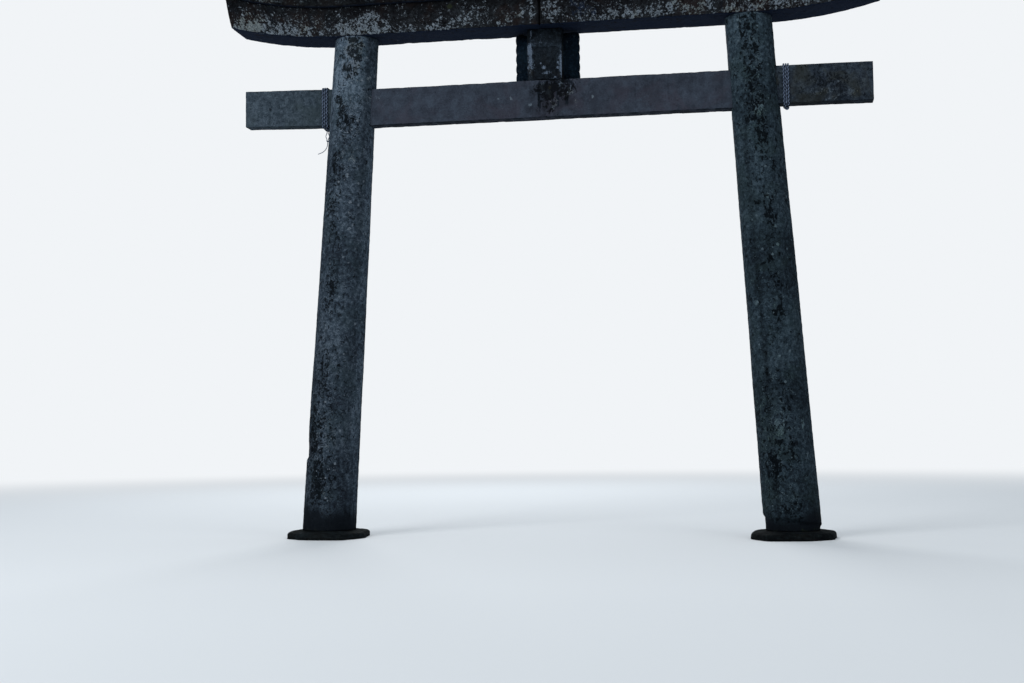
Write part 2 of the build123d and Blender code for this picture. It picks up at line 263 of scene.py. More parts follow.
granite = {
    "shift": (0.0, 0.0, 0.0),     # moves the pattern, so that stones differ
    "follow": "object",           # or the attribute that holds the place to follow
    # The stone colours here and in the finishes below are dark and blue-grey: painted shade, the cool
    # light on a gate in shade under a bright sky, laid over grey stone.
    "dark": "1b2129",
    "middle": "2e3842",
    "light": "48535e",
    "darkToMiddle": (0.40, 0.51),
    "middleToLight": (0.50, 0.62),
    "cloudScale": 1.7,
    "cloudNoise": (3.0, 0.55, 0.4),
    "cloudPull": 0.32,
    "mottleScale": 24.0,
    "mottleNoise": (5.0, 0.66),
    "mottleShare": 0.62,
    "fleckScale": 78.0,
    "fleckNoise": (3.0, 0.7),
    "crystalScale": 230.0,
    "crystalPull": 0.20,
    "hueScale": 2.9,
    "hueNoise": (3.0, 0.6, 0.5),
    "tint": "28343a",
    "tintEdge": (0.45, 0.66),
    "tintPull": 0.4,
    "streak": "0e141a",
    "streakScale": 9.0,
    "streakNoise": (5.0, 0.62, 0.3),
    "streakStretch": (1.0, 1.0, 0.10),
    "streakEdge": (0.55, 0.70),
    "streakPull": 0.45,
    "pitScale": 44.0,
    "pitShare": 0.55,             # share of the places that have no pit
    "pitSize": 0.34,
    "pitSoftness": 0.10,
    "pitPull": 0.6,
    "stainAndShade": "0e1217",
    "stainAndShadeMottle": 1.5,           # how far the mottle and the streaks break up the stains and the painted shade of this layer
    "stainAndShadeStreak": 1.1,
    "stainAndShadeEdge": (0.38, 0.80),
    "stainAndShadePull": 0.92,
    "lichen": "6c7680",
    "lichenDark": "3d4751",
    "lichenWarm": "646d70",
    "warmEdge": (0.50, 0.62),
    "lichenScale": 24.0,
    "lichenNoise": (8.0, 0.70, 0.5),
    "lichenStretch": 0.55,
    "lichenRagged": 2.2,          # how ragged the outline of the crust is
    "lichenLace": 2.6,            # how much the crust is broken by small holes
    "laceScale": 2.9,             # of the holes, compared with the crust
    "laceNoise": (5.0, 0.75),
    "lichenEdge": (0.56, 0.70),
    "grainScale": 95.0,
    "grainNoise": (4.0, 0.7),
    "grainEdge": (0.36, 0.64),
    "grime": "05080b",            # black growth in small ragged specks
    "grimeScale": 19.0,
    "grimeNoise": (6.0, 0.68, 1.1),
    "grimeStretch": (1.0, 1.0, 0.8),
    "grimeStart": 0.60,
    "grimeSoftness": 0.035,
    "grimePull": 0.90,
    "growthPull": 0.20,
    "dotScale": 19.0,
    "dotSize": 0.32,
    "dotShare": 0.80,             # share of the places that have no dot
    "dotRagged": 0.35,
    "dotSoftness": 0.07,
    "dotCover": (0.02, 0.22),     # lichen from which dots begin to show, and show fully
    "dotPull": 0.65,
    "moss": "20251b",
    "mossRagged": 1.6,
    "mossEdge": (0.42, 0.68),
    "mossPull": 0.85,
    "roughness": (0.94, 0.78),    # of the dark and of the light places
    "specular": 0.02,
    "depth": 0.006,
    "rises": (-0.35, 0.10, 0.10, 0.18),  # of pits, crust, dots and moss, as shares of the depth
    "crystalRise": 0.08,
}


stoneColours = ("dark", "middle", "light", "tint", "streak", "stainAndShade", "lichen", "lichenDark",
                "lichenWarm", "grime", "moss")


def stoneFinish(name, look):
    look = dict(look, **{key: paint(look[key]) for key in stoneColours})
    material, tree, shader = startMaterial(name, {"Specular IOR Level": look["specular"]})
    if look["follow"] == "object":
        place = objectPlace(tree)
    else:
        place = mark(tree, look["follow"], "Vector")
    place = stretch(tree, place, (1.0, 1.0, 1.0), look["shift"])

    # Bare stone: clouds, mottle, flecks and crystals
    cloud = lookNoise(tree, look, "cloud", place)
    mottle = lookNoise(tree, look, "mottle", place)
    fleck = lookNoise(tree, look, "fleck", place)
    tone = reckon(tree, "MULTIPLY", fleck, 1 - look["mottleShare"])
    tone = reckon(tree, "MULTIPLY_ADD", mottle, look["mottleShare"], tone)
    tone = sway(tree, cloud, look["cloudPull"], tone)
    colour = lay(tree, soften(tree, tone, *look["darkToMiddle"]), look["dark"], look["middle"])
    colour = lay(tree, soften(tree, tone, *look["middleToLight"]), colour, look["light"])
    crystalKind = crystals(tree, place, look["crystalScale"])[1]
    sparkle = soften(tree, crystalKind, 0.1, 0.9, 1 - look["crystalPull"], 1 + look["crystalPull"])
    colour = lay(tree, 1.0, colour, sparkle, "MULTIPLY")

    # Broad tint, streaks that run down, and pits
    hue = lookNoise(tree, look, "hue", place)
    colour = layCover(tree, look, "tint", hue, colour)
    runs = lookNoise(tree, look, "streak", stretch(tree, place, look["streakStretch"]))
    colour = layCover(tree, look, "streak", runs, colour)
    pitAway, pitKind = crystals(tree, place, look["pitScale"])
    pitSize = soften(tree, pitKind, look["pitShare"], 1.0, 0.0, look["pitSize"])
    pits = soften(tree, reckon(tree, "SUBTRACT", pitSize, pitAway), 0.0, look["pitSoftness"])
    colour = lay(tree, reckon(tree, "MULTIPLY", pits, look["pitPull"]), colour, look["streak"])

    # Painted shade with darker and lighter tone, then stains, which on the undersides are painted shade
    colour = lay(tree, 1.0, colour, reckon(tree, "ADD", mark(tree, "shade"), 1.0), "MULTIPLY")
    smear = sway(tree, runs, look["stainAndShadeStreak"], mark(tree, "stainAndShade"))
    smear = sway(tree, mottle, look["stainAndShadeMottle"], smear)
    colour = layCover(tree, look, "stainAndShade", smear, colour)

    # Crust of lichen, laced with holes
    lichen = mark(tree, "lichen")
    crustPlace = stretch(tree, place, (1.0, 1.0, look["lichenStretch"]))
    crust = lookNoise(tree, look, "lichen", crustPlace)
    holes = clouds(tree, place, look["lichenScale"] * look["laceScale"], *look["laceNoise"])
    crustLevel = sway(tree, crust, look["lichenRagged"], lichen)
    crustLevel = sway(tree, holes, look["lichenLace"], crustLevel)
    crustMask = soften(tree, crustLevel, *look["lichenEdge"])
    grain = soften(tree, lookNoise(tree, look, "grain", place), *look["grainEdge"])
    pale = lay(tree, soften(tree, hue, *look["warmEdge"]), look["lichen"], look["lichenWarm"])
    colour = lay(tree, crustMask, colour, lay(tree, grain, look["lichenDark"], pale))

    # Black growth over stone and lichen
    growth = lookNoise(tree, look, "grime", stretch(tree, place, look["grimeStretch"]))
    growth = reckon(tree, "MULTIPLY_ADD", mark(tree, "growth"), look["growthPull"], growth)
    grimeEnd = look["grimeStart"] + look["grimeSoftness"]
    growth = soften(tree, growth, look["grimeStart"], grimeEnd, 0.0, look["grimePull"])
    colour = lay(tree, growth, colour, look["grime"])

    # Round dots of young lichen, where there is any lichen
    dotAway, dotKind = crystals(tree, place, look["dotScale"])
    dotReach = soften(tree, dotKind, look["dotShare"], 1.0, 0.0, look["dotSize"])
    dotReach = sway(tree, fleck, look["dotRagged"], dotReach)
    dotMask = soften(tree, reckon(tree, "SUBTRACT", dotReach, dotAway), 0.0, look["dotSoftness"])
    dotMask = reckon(tree, "MULTIPLY", dotMask, soften(tree, lichen, *look["dotCover"]))
    colour = lay(tree, reckon(tree, "MULTIPLY", dotMask, look["dotPull"]), colour, look["lichen"])

    mossLevel = sway(tree, mottle, look["mossRagged"], mark(tree, "moss"))
    mossMask = soften(tree, mossLevel, *look["mossEdge"], 0.0, look["mossPull"])
    colour = lay(tree, mossMask, colour, look["moss"])

    height = tone
    for layer, rise in zip((pits, crustMask, dotMask, mossMask), look["rises"]):
        height = reckon(tree, "MULTIPLY_ADD", layer, rise, height)
    coarse = relief(tree, height, look["depth"])
    fill(tree, shader, {
        "Base Color": colour,
        "Roughness": soften(tree, tone, 0.3, 0.7, *look["roughness"]),
        "Normal": relief(tree, crystalKind, look["depth"] * look["crystalRise"], coarse)})
    return material


# Stone working: a bevelled block cut into a fine grid, then worn

def smoothStep(value, low, high):
    share = min(max((value - low) / (high - low), 0.0), 1.0)
    return share * share * (3 - 2 * share)


def extrudeLoop(bm, loop):  # the new points and the new edges
    grown = bmesh.ops.extrude_edge_only(bm, edges=loop)["geom"]
    verts = [part for part in grown if isinstance(part, bmesh.types.BMVert)]
    return verts, [part for part in grown if isinstance(part, bmesh.types.BMEdge)]


def bevelEdges(bm, width, steps=2, sharp=0.3):  # every edge whose faces meet at a clear angle
    edges = [edge for edge in bm.edges if edge.calc_face_angle(0.0) > sharp]
    bmesh.ops.bevel(bm, geom=edges, offset=width, offset_type="OFFSET", affect="EDGES",
                    segments=steps, profile=0.5, material=-1)


def cutGrid(bm, step):  # cuts the long edges along each axis into equal parts
    for axis in range(3):
        along = []
        for edge in bm.edges:
            run = edge.verts[1].co - edge.verts[0].co
            if run.length > 1.6 * step and abs(run[axis]) > 0.9 * run.length:
                along.append(edge)
        groups = {}
        for edge in along:  # edges between the same two heights get the same number of cuts
            ends = sorted(round(vert.co[axis], 2) for vert in edge.verts)
            groups.setdefault(tuple(ends), []).append(edge)
        for (low, high), edges in groups.items():
            cuts = max(1, round((high - low) / step) - 1)
            bmesh.ops.subdivide_edges(bm, edges=edges, cuts=cuts, use_grid_fill=True)


def plainBlock(low, high):
    bm = bmesh.new()
    bmesh.ops.create_cube(bm, size=1.0)
    bmesh.ops.scale(bm, vec=Vector(high) - Vector(low), verts=bm.verts)
    bmesh.ops.translate(bm, vec=(Vector(high) + Vector(low)) / 2, verts=bm.verts)
    return bm


def stoneBlock(low, high, bevelWidth, step):
    bm = plainBlock(low, high)
    bevelEdges(bm, bevelWidth)
    cutGrid(bm, step)
    return bm


wearLook = {
    "seed": (0.0, 0.0, 0.0),
    "waveScale": 1.8,
    "waveDepth": 0.0035,
    "roughScale": 15.0,
    "roughDepth": 0.0016,
    "pitScale": 26.0,
    "pitSize": 0.34,
    "pitDepth": 0.003,
    "arrisReach": 0.020,    # how far in from an edge the wear reaches
    "arrisLoss": 0.003,
    "chipScale": 10.0,
    "chipLevels": (0.12, 0.5),  # of the noise, from no chip to a full one
    "chipDetail": 3.1,      # how much finer the ground of a chip is
    "chipDepth": 0.011,
    "sink": 0.001,          # keeps the worn skin inside the dressed one
}


def wearStone(bm, look, low=None, high=None):
    bm.normal_update()
    seed = Vector(look["seed"])
    places = []
    for vert in bm.verts:
        spot = vert.co + seed
        move = noise.noise(spot * look["waveScale"]) * look["waveDepth"] - look["sink"]
        move += noise.fractal(spot * look["roughScale"], 0.8, 2.1, 4) * look["roughDepth"]
        nearest = noise.voronoi(spot * look["pitScale"])[0][0]
        move -= (1 - smoothStep(nearest, 0.0, look["pitSize"])) * look["pitDepth"]
        if low:
            gaps = sorted(min(vert.co[i] - low[i], high[i] - vert.co[i]) for i in range(3))
            arris = math.exp(-math.hypot(max(gaps[0], 0), max(gaps[1], 0)) / look["arrisReach"])
            broken = smoothStep(noise.noise(spot * look["chipScale"]), *look["chipLevels"])
            fine = 0.5 + 0.5 * noise.noise(spot * look["chipScale"] * look["chipDetail"])
            move -= arris * (look["arrisLoss"] + broken * fine * look["chipDepth"])
        places.append(vert.co + vert.normal * move)
    for vert, place in zip(bm.verts, places):
        vert.co = place


def rememberStraight(bm):  # keeps each point's place on the straight stone, for its pattern
    layer = bm.verts.layers.float_vector.new("straightStone")
    for vert in bm.verts:
        vert[layer] = vert.co


def finishPiece(node, bm, material, ending="_weathered"):
    for face in bm.faces:
        face.smooth = True
    piece = makeObject(node + ending, bm)
    piece.data.materials.append(material)
    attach(piece, "root")
    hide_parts(node)
    return piece


def meshArrays(mesh):  # places and normals of all points
    count = len(mesh.vertices)
    place = np.empty(count * 3, np.float32)
    normal = np.empty(count * 3, np.float32)
    if "straightStone" in mesh.attributes:
        mesh.attributes["straightStone"].data.foreach_get("vector", place)
    else:
        mesh.vertices.foreach_get("co", place)
    mesh.vertices.foreach_get("normal", normal)
    return place.reshape(-1, 3), normal.reshape(-1, 3)


def patchiness(place, scale, seed):  # slow variation along a stone, between about -1 and 1
    shift = Vector((seed, 0.0, 0.0))
    return np.array([noise.noise(Vector(spot) * scale + shift) for spot in place]) * 1.6


def ramp(value, start, end):  # 0 up to start, 1 from end on, and end may be the lower one
    return np.clip((value - start) / (end - start), 0, 1)


def hump(value, middle, half, gain=1.0):  # highest at the middle, 0 from half away on
    return np.clip(gain * (1 - np.abs(value - middle) / half), 0, 1)


patchBends = ((0.35, 9.0), (0.25, 23.0))  # uneven outlines: share of a patch's half size, and scale


def paintPiece(piece, background, patches=None):
    # background gives the covers for all points. Patches add to a cover, all on the near side:
    # x, z, half width, half height, strength.
    place, normal = meshArrays(piece.data)
    covers = background(place, normal)
    for cover in ("shade", "growth"):
        covers.setdefault(cover, np.zeros(len(place)))
    if patches:
        near = normal[:, 1] < -0.25
        bend = [sum(share * patchiness(place, scale, seed) for share, scale in patchBends)
                for seed in (1.5, 4.5)]
        for cover, spots in patches.items():
            for x, z, halfWidth, halfHeight, strength in spots:
                room = min(halfWidth, halfHeight)
                reach = np.hypot((place[:, 0] - x + bend[0] * room) / halfWidth,
                                 (place[:, 2] - z + bend[1] * room) / halfHeight)
                covers[cover] = covers[cover] + np.clip(1.6 * (1 - reach), 0, 1) * strength * near
    for cover in ("lichen", "stainAndShade", "moss", "shade", "growth"):
        layer = piece.data.attributes.new(cover, "FLOAT", "POINT")
        layer.data.foreach_set("value", covers[cover].astype(np.float32))


# Pillars

pillarLook = {
    "around": 144,
    "step": 0.0125,
    "fuller": {-1: 0.0, 1: 0.006},  # the right pillar is a little the thicker
    "meanRadius": 0.27,
    "sideGap": 0.003,       # of the hole that the tie beam passes through
    "topGap": 0.005,
    "cutReach": 0.6,        # of the cutter for that hole, to either side of the pillar's axis
    "cutStep": 0.04,        # twice the width in which the cutter changes from one height to the other
    # what has come off: angles in degrees round the pillar, ranges from nothing to all of the depth
    "flake": {"angle": 196, "around": (34, 16), "under": (0.868, 0.915), "over": (1.24, 0.93),
              "depth": 0.017},
    "crack": {"angle": 225, "around": (24, 14), "height": 0.955, "levelAngle": 235, "climb": 0.0012,
              "upwards": (0.016, 0.004), "depth": 0.012},
    "hole": {"angle": 283, "perDegree": 0.0052, "height": 1.017, "reach": (0.030, 0.010),
             "depth": 0.030},
    "undercut": {"height": 0.19, "angle": 195, "tilt": 0.05, "ragged": 0.02, "raggedScale": 9,
                 "upwards": (0.015, -0.02), "depth": 0.020},
}
pillarWear = dict(
    wearLook,
    waveScale=1.4,
    waveDepth=0.005,
    roughScale=17.0,
    roughDepth=0.0021,
    pitScale=30.0,
    pitSize=0.42,
    pitDepth=0.0042,
)


def axisPlace(height):
    return gate["footSpacing"] / 2 - height * math.tan(math.radians(gate["lean"]))


def pillarRadius(height):
    share = height / gate["pillarTop"]
    return gate["footRadius"] + (gate["topRadius"] - gate["footRadius"]) * share


def brokenAway(side, place, look):  # depth of what has come off at a place on the upright surface
    x, y, z = place
    angle = math.degrees(math.atan2(y, x)) % 360
    if side < 0:  # a flake above a crack on the outer side
        flake, crack = look["flake"], look["crack"]
        around = smoothStep(abs(angle - flake["angle"]), *flake["around"])
        upwards = smoothStep(z, *flake["under"]) * smoothStep(z, *flake["over"])
        away = abs(z - crack["height"] - crack["climb"] * (angle - crack["levelAngle"]))
        split = smoothStep(away, *crack["upwards"])
        split *= smoothStep(abs(angle - crack["angle"]), *crack["around"])
        return flake["depth"] * around * upwards + crack["depth"] * split
    hole, undercut = look["hole"], look["undercut"]
    away = math.hypot((angle - hole["angle"]) * hole["perDegree"], z - hole["height"])
    top = undercut["height"] + undercut["tilt"] * math.cos(math.radians(angle - undercut["angle"]))
    top += undercut["ragged"] * noise.noise(place * undercut["raggedScale"])
    lost = undercut["depth"] * smoothStep(z, *(top + room for room in undercut["upwards"]))
    return hole["depth"] * smoothStep(away, *hole["reach"]) + lost


def cutMortise(piece, look, side):
    middle = side * axisPlace(gate["beamLow"])
    half = gate["beamHalf"] + look["sideGap"]
    lows = {-side: gate["beamLow"] - look["sideGap"], side: gate["noseLow"] - look["sideGap"]}
    highs = {-side: gate["beamHigh"] + look["topGap"], side: gate["noseHigh"] + look["topGap"]}
    bm = bmesh.new()
    bmesh.ops.create_cube(bm, size=1.0)
    ends = [edge for edge in bm.edges if abs(edge.verts[0].co.x - edge.verts[1].co.x) > 0.5]
    bmesh.ops.subdivide_edges(bm, edges=ends, cuts=3, use_grid_fill=True)
    for vert in bm.verts:  # five rows: one at either end, three where the height changes
        way = 1 if vert.co.x > 0.01 else -1 if vert.co.x < -0.01 else side
        isEnd = abs(vert.co.x) > 0.3
        vert.co.x = middle + (way * look["cutReach"] if isEnd else vert.co.x * look["cutStep"])
        vert.co.y = half if vert.co.y > 0 else -half
        vert.co.z = highs[way] if vert.co.z > 0 else lows[way]
    cutter = makeObject("mortise", bm)
    cut = piece.modifiers.new("mortise", "BOOLEAN")
    cut.operation = "DIFFERENCE"
    cut.solver = "EXACT"
    cut.object = cutter
    bpy.context.view_layer.update()
    worked = bpy.data.meshes.new_from_object(piece.evaluated_get(bpy.context.evaluated_depsgraph_get()))
    piece.modifiers.clear()
    old = piece.data
    piece.data = worked
    bpy.data.meshes.remove(old)
    bpy.data.objects.remove(cutter)
    worked.name = piece.name


def makePillar(name, side, look, wear, finish):
    fuller = look["fuller"][side]
    bm = bmesh.new()
    foot, top = gate["pillarFoot"], gate["pillarTop"]
    height = top - foot
    bmesh.ops.create_cone(bm, cap_ends=True, cap_tris=False, segments=look["around"], depth=height,
                          radius1=pillarRadius(foot) + fuller, radius2=pillarRadius(top) + fuller)
    bmesh.ops.translate(bm, vec=(0, 0, foot + height / 2), verts=bm.verts)
    upright = [edge for edge in bm.edges if edge.calc_length() > height / 2]
    bmesh.ops.subdivide_edges(bm, edges=upright, cuts=round(height / look["step"]), use_grid_fill=True)
    lost = [brokenAway(side, vert.co, look) for vert in bm.verts]
    wearStone(bm, wear)
    for vert, depth in zip(bm.verts, lost):
        vert.co -= Vector((vert.co.x, vert.co.y, 0)).normalized() * depth
        vert.co.z = min(max(vert.co.z, foot), top)
        vert.co.x += side * axisPlace(vert.co.z)
    piece = finishPiece(name, bm, finish)
    cutMortise(piece, look, side)
    return piece


leftPillarFinish = stoneFinish("leftPillarGranite", dict(granite, grimeScale=27.0))
rightPillarFinish = stoneFinish("rightPillarGranite", dict(
    granite, shift=(3.1, 1.7, 0.0), dark="151c22", middle="232e36", light="36434c",
    tint="222e2f", tintPull=0.35, grime="04070a", lichen="53626a",
    lichenDark="2f3e43", lichenWarm="4a5b5a"))

rightPillarWear = dict(pillarWear, seed=(7.3, 2.1, 4.4))
pillars = {
    "left": makePillar("pillar_left", -1, pillarLook, pillarWear, leftPillarFinish),
    "right": makePillar("pillar_right", 1, pillarLook, rightPillarWear, rightPillarFinish),
}


def pillarBackground(side):
    def background(place, normal):
        x, y, z = place.T
        foot = (0.47 if side < 0 else 0.38) + 0.07 * patchiness(place * (1, 1, 0.3), 5.0, side)
        damp = ramp(z, foot, foot - 0.34)
        leaning = (x - side * axisPlace(z)) / pillarLook["meanRadius"]
        near = (y < 0).astype(float)
        upper = ramp(z, 4.3, 5.5)
        lower = ramp(z, 2.4, 1.4) * ramp(leaning, 0.55, 0.25)
        knots = 1 + 1.3 * patchiness(place * (1, 1, 0.6), 4.5, 6.0 * side)
        shade = 0.08 * np.clip((z - 2.5) / 2.5, -1, 1) + 0.08 * patchiness(place, 1.6, 3.0 * side)
        if side < 0:  # pale crust and black specks under the lintel, a dark band to the right of it
            band = hump(leaning, 0.10, 0.55, 2.5) * near * ramp(z, 3.9, 4.7)
            column = hump(leaning, -0.28, 0.36, 1.5) * near * ramp(z, 5.0, 4.6)
            # pale upper part; its right side darker, as painted shade under the lintel on the side away
            # from the light
            shade += 0.08 + upper * (0.66 - 0.60 * ramp(leaning, 0.45, 0.70))
            shade -= 0.28 * hump(leaning, 0.72, 0.16) * ramp(z, 2.6, 3.4)  # dark band on the right
            shade -= 0.18 * ramp(leaning, -0.45, -0.75) * (z < 4.6)  # left edge
            shade += 0.35 * ramp(leaning, 0.84, 0.92) * near * (z < 4.65)  # painted highlight of the light from behind, along the right edge
            shade -= 0.14 * ramp(leaning, 0.40, 0.60) * ramp(z, 2.6, 1.8)  # right part, low down
            lichen = 0.14 + 0.17 * lower + 0.24 * band
            growth = 0.10 + 0.20 * lower + 0.16 * band + 0.30 * column * knots
        else:  # black growth in a band down the near side, pale on its left and dark on its right
            band = hump(leaning, -0.02, 0.46, 3.0) * near * ramp(z, 4.35, 4.65)
            column = hump(leaning, 0.12, 0.34, 1.5) * near * ramp(z, 2.1, 2.5) * ramp(z, 4.8, 4.4)
            shade += upper * (0.10 + 0.16 * ramp(leaning, -0.40, -0.55))
            shade -= 0.40 * hump(leaning, -0.52, 0.16) * ramp(z, 4.7, 4.4)  # dark band on the left
            shade -= 0.14 * ramp(leaning, 0.50, 0.80) + 0.10 * band  # right edge, and under the growth
            lichen = 0.14 + 0.19 * lower + 0.22 * band + 0.06 * column
            growth = 0.08 + 0.20 * lower + 0.47 * band + 0.28 * column * knots
        return {
            "lichen": lichen - damp,
            "stainAndShade": damp * 1.25,
            "moss": 0.4 * ramp(z, 0.16, 0.10),
            "shade": shade - 0.30 * damp,
            "growth": growth - 1.5 * np.clip(damp - 0.4, 0, 1),
        }
    return background


pillarPatches = {
    "left": {
        "lichen": [
            (-2.21, 5.52, 0.15, 0.16, 0.42), (-2.2, 5.33, 0.14, 0.12, 0.34),
            (-2.21, 5.03, 0.16, 0.14, -0.22), (-2.22, 4.25, 0.06, 0.09, 0.35),
            (-2.043, 5.198, 0.024, 0.026, 1.1), (-2.041, 4.976, 0.02, 0.022, 0.95),
            (-2.241, 3.769, 0.026, 0.026, 0.9), (-2.253, 3.656, 0.024, 0.022, 1.0),
            (-2.223, 3.51, 0.022, 0.022, 1.0), (-2.255, 3.464, 0.024, 0.024, 1.1),
        ],
        "growth": [
            (-2.18, 5.5, 0.11, 0.15, 0.6), (-2.34, 5.46, 0.06, 0.1, 0.6),
            (-2.22, 5.31, 0.15, 0.09, 0.5), (-2.2, 5.63, 0.1, 0.04, 0.7),
            (-2.21, 5.05, 0.15, 0.12, -0.3), (-2.37, 4.94, 0.07, 0.12, 0.65),
            (-2.355, 4.8, 0.08, 0.11, 0.55), (-2.23, 4.69, 0.12, 0.09, 0.4),
            (-2.39, 4.31, 0.06, 0.09, 0.45), (-2.43, 4.14, 0.06, 0.08, 0.4),
            (-2.39, 4.0, 0.06, 0.08, 0.4), (-2.48, 3.75, 0.06, 0.3, 0.3),
            (-2.7, 1.15, 0.09, 0.45, 0.45), (-2.66, 0.6, 0.08, 0.3, 0.3),
        ],
        "stainAndShade": [(-2.63, 0.965, 0.1, 0.03, 0.8)],
    },
    "right": {
        "lichen": [
            (2.31, 4.6, 0.11, 0.09, 0.18), (2.26, 4.43, 0.11, 0.06, 0.18),
            (2.7, 1.215, 0.022, 0.075, 1.1), (2.46, 1.18, 0.07, 0.14, 0.4),
            (2.39, 3.655, 0.028, 0.028, 1.2), (2.457, 3.33, 0.026, 0.026, 1.2),
            (2.484, 3.125, 0.022, 0.024, 1.1), (2.25, 2.51, 0.035, 0.035, 0.9),
        ],
        "growth": [
            (2.31, 4.6, 0.11, 0.08, -0.45), (2.25, 4.5, 0.16, 0.045, 0.5),
            (2.27, 4.43, 0.11, 0.05, -0.4), (2.42, 3.45, 0.09, 0.14, 0.32),
            (2.43, 3.2, 0.1, 0.14, 0.32), (2.45, 2.72, 0.11, 0.09, 0.32),
            (2.47, 2.42, 0.11, 0.11, 0.34), (2.39, 0.8, 0.1, 0.25, 0.5),
            (2.57, 0.95, 0.06, 0.2, 0.35),
        ],
        "stainAndShade": [(2.625, 1.017, 0.035, 0.035, 1.2)],
        "moss": [(2.6, 4.2, 0.05, 0.9, 0.25)],
    },
}
for sideName, side in twoSides:
    paintPiece(pillars[sideName], pillarBackground(side), pillarPatches[sideName])
print("pillars ready")


# Base stones

baseLook = {
    "width": 0.93,
    "depth": 1.0,
    "height": 0.088,
    "cornerRound": 0.075,
    "step": 0.013,
    "sag": 0.016,           # how far the top falls from the pillar to the rim
    "sagRange": (0.68, 1.02),
    "outline": [            # corners as shares of half the width and half the depth
        (-0.62, -1.0), (0.34, -0.96), (0.88, -0.58), (1.0, 0.22),
        (0.66, 0.90), (-0.22, 1.0), (-0.86, 0.70), (-1.0, -0.36),
    ],
    # from the foot of the side up over the rounded edge: share of the outline's size, height
    "edge": [(1.000, 0.014), (0.999, 0.028), (0.998, 0.043), (0.994, 0.057),
             (0.985, 0.068), (0.972, 0.077), (0.955, 0.083), (0.935, 0.087), (0.912, 0.088)],
    "topRings": 15,
    "innermost": 0.48,
}
baseWear = dict(wearLook, waveScale=5.0, waveDepth=0.006, roughDepth=0.003, pitDepth=0.003, sink=0.003)


def makeBaseStone(name, side, look, wear, finish):
    bm = bmesh.new()
    corners = [bm.verts.new((side * x * look["width"] / 2, y * look["depth"] / 2, 0))
               for x, y in look["outline"]]
    bm.faces.new(corners)
    bmesh.ops.bevel(bm, geom=corners, offset=look["cornerRound"], offset_type="OFFSET",
                    affect="VERTICES", segments=5, profile=0.5, material=-1)
    for edge in bm.edges[:]:
        cuts = round(edge.calc_length() / look["step"]) - 1
        if cuts > 0:
            bmesh.ops.subdivide_edges(bm, edges=[edge], cuts=cuts)
    rings = list(look["edge"])
    start, height = rings[-1]
    for ring in range(1, look["topRings"] + 1):
        rings.append((start + (look["innermost"] - start) * ring / look["topRings"], height))
    loop = bm.edges[:]
    size = 1.0
    for share, height in rings:
        verts, loop = extrudeLoop(bm, loop)
        for vert in verts:
            vert.co = (vert.co.x * share / size, vert.co.y * share / size, height)
        size = share
    bmesh.ops.edgeloop_fill(bm, edges=loop)
    bmesh.ops.recalc_face_normals(bm, faces=bm.faces)
    wearStone(bm, wear)
    for vert in bm.verts:
        outward = math.hypot(vert.co.x / look["width"], vert.co.y / look["depth"]) * 2
        fall = look["sag"] * smoothStep(outward, *look["sagRange"])
        vert.co.z -= fall * max(vert.co.z, 0) / look["height"]
        vert.co.z = max(vert.co.z, 0.0)
        vert.co.x += side * gate["footSpacing"] / 2
    return finishPiece(name, bm, finish)


baseFinish = stoneFinish("baseGranite", dict(
    granite, shift=(1.3, 0.6, 0.2), dark="090b0d", middle="101416", light="1b2124",
    tint="141412", lichen="323b40", lichenDark="1e2529", lichenWarm="30352f",
    stainAndShade="0b0a09", moss="181d15", depth=0.007))


def baseBackground(place, normal):
    return {
        "lichen": 0.16 * (normal[:, 2] > 0.5),
        "stainAndShade": 0.7 * ramp(place[:, 2], 0.05, 0.0),
        "moss": 0.30 * (normal[:, 2] > 0.4),
    }


for sideName, side in twoSides:
    wear = dict(baseWear, seed=(1.1 * side, 3.0, 0.4))
    stone = makeBaseStone("base_stone_" + sideName, side, baseLook, wear, baseFinish)
    paintPiece(stone, baseBackground)
print("base stones ready")


# Tie beam: a middle stone and two noses, each nose tilted a little

beamLook = {
    "middleReach": 2.2745,  # the stones end inside the pillars
    "noseStart": 2.2825,
    "bevel": 0.009,
    "noseChip": 0.004,
    "step": 0.0135,
}
beamWear = dict(wearLook, waveDepth=0.003, roughDepth=0.0012, pitDepth=0.0018, chipDepth=0.010)

beamFinish = stoneFinish("beamGranite", dict(
    granite, shift=(0.4, 0.0, 0.7), dark="292e37", middle="303640", light="363e49",
    mottleScale=9.0, fleckScale=60.0, tint="35333c", tintPull=0.45, streakPull=0.25, streakScale=14.0,
    stainAndShade="10161d", lichen="59656f", lichenDark="3b444e", lichenWarm="5c6164",
    moss="22231d", grimeStart=0.66, lichenScale=34.0,
    grime="07090c", grimeScale=26.0, dotScale=24.0, dotShare=0.90, pitPull=0.3, crystalPull=0.12,
    depth=0.003))
leftNoseFinish = stoneFinish("leftNoseGranite", dict(
    granite, shift=(2.6, 0.9, 0.1), dark="252e36", middle="343e47", light="434e58",
    mottleScale=22.0, fleckScale=64.0, tint="303a3d", tintPull=0.5, streakPull=0.25, streakScale=14.0,
    stainAndShade="161c22", grime="161c23", grimeScale=28.0, grimeStart=0.585, grimePull=0.6,
    dotScale=24.0, dotShare=0.92, pitPull=0.5, crystalPull=0.14, depth=0.004))
rightNoseFinish = stoneFinish("rightNoseGranite", dict(
    granite, shift=(5.2, 0.4, 1.1), dark="1a2028", middle="272f38", light="384149",
    mottleScale=20.0, fleckScale=64.0, tint="2a2c27", tintPull=0.6, streakPull=0.35,
    lichen="4a545d", lichenDark="323a43", lichenWarm="46493f", lichenScale=34.0,
    grime="0b0f13", grimeScale=24.0, grimeStart=0.58, grimePull=0.80,
    dotScale=22.0, dotShare=0.86, pitPull=0.4, crystalPull=0.14, depth=0.004))


def noseShift(sideName, distance):  # height that a nose has gained at a distance from the middle
    share = (distance - gate["noseRoot"]) / (gate["noseReach"] - gate["noseRoot"])
    return gate["noseRise"][sideName] * max(share, 0)


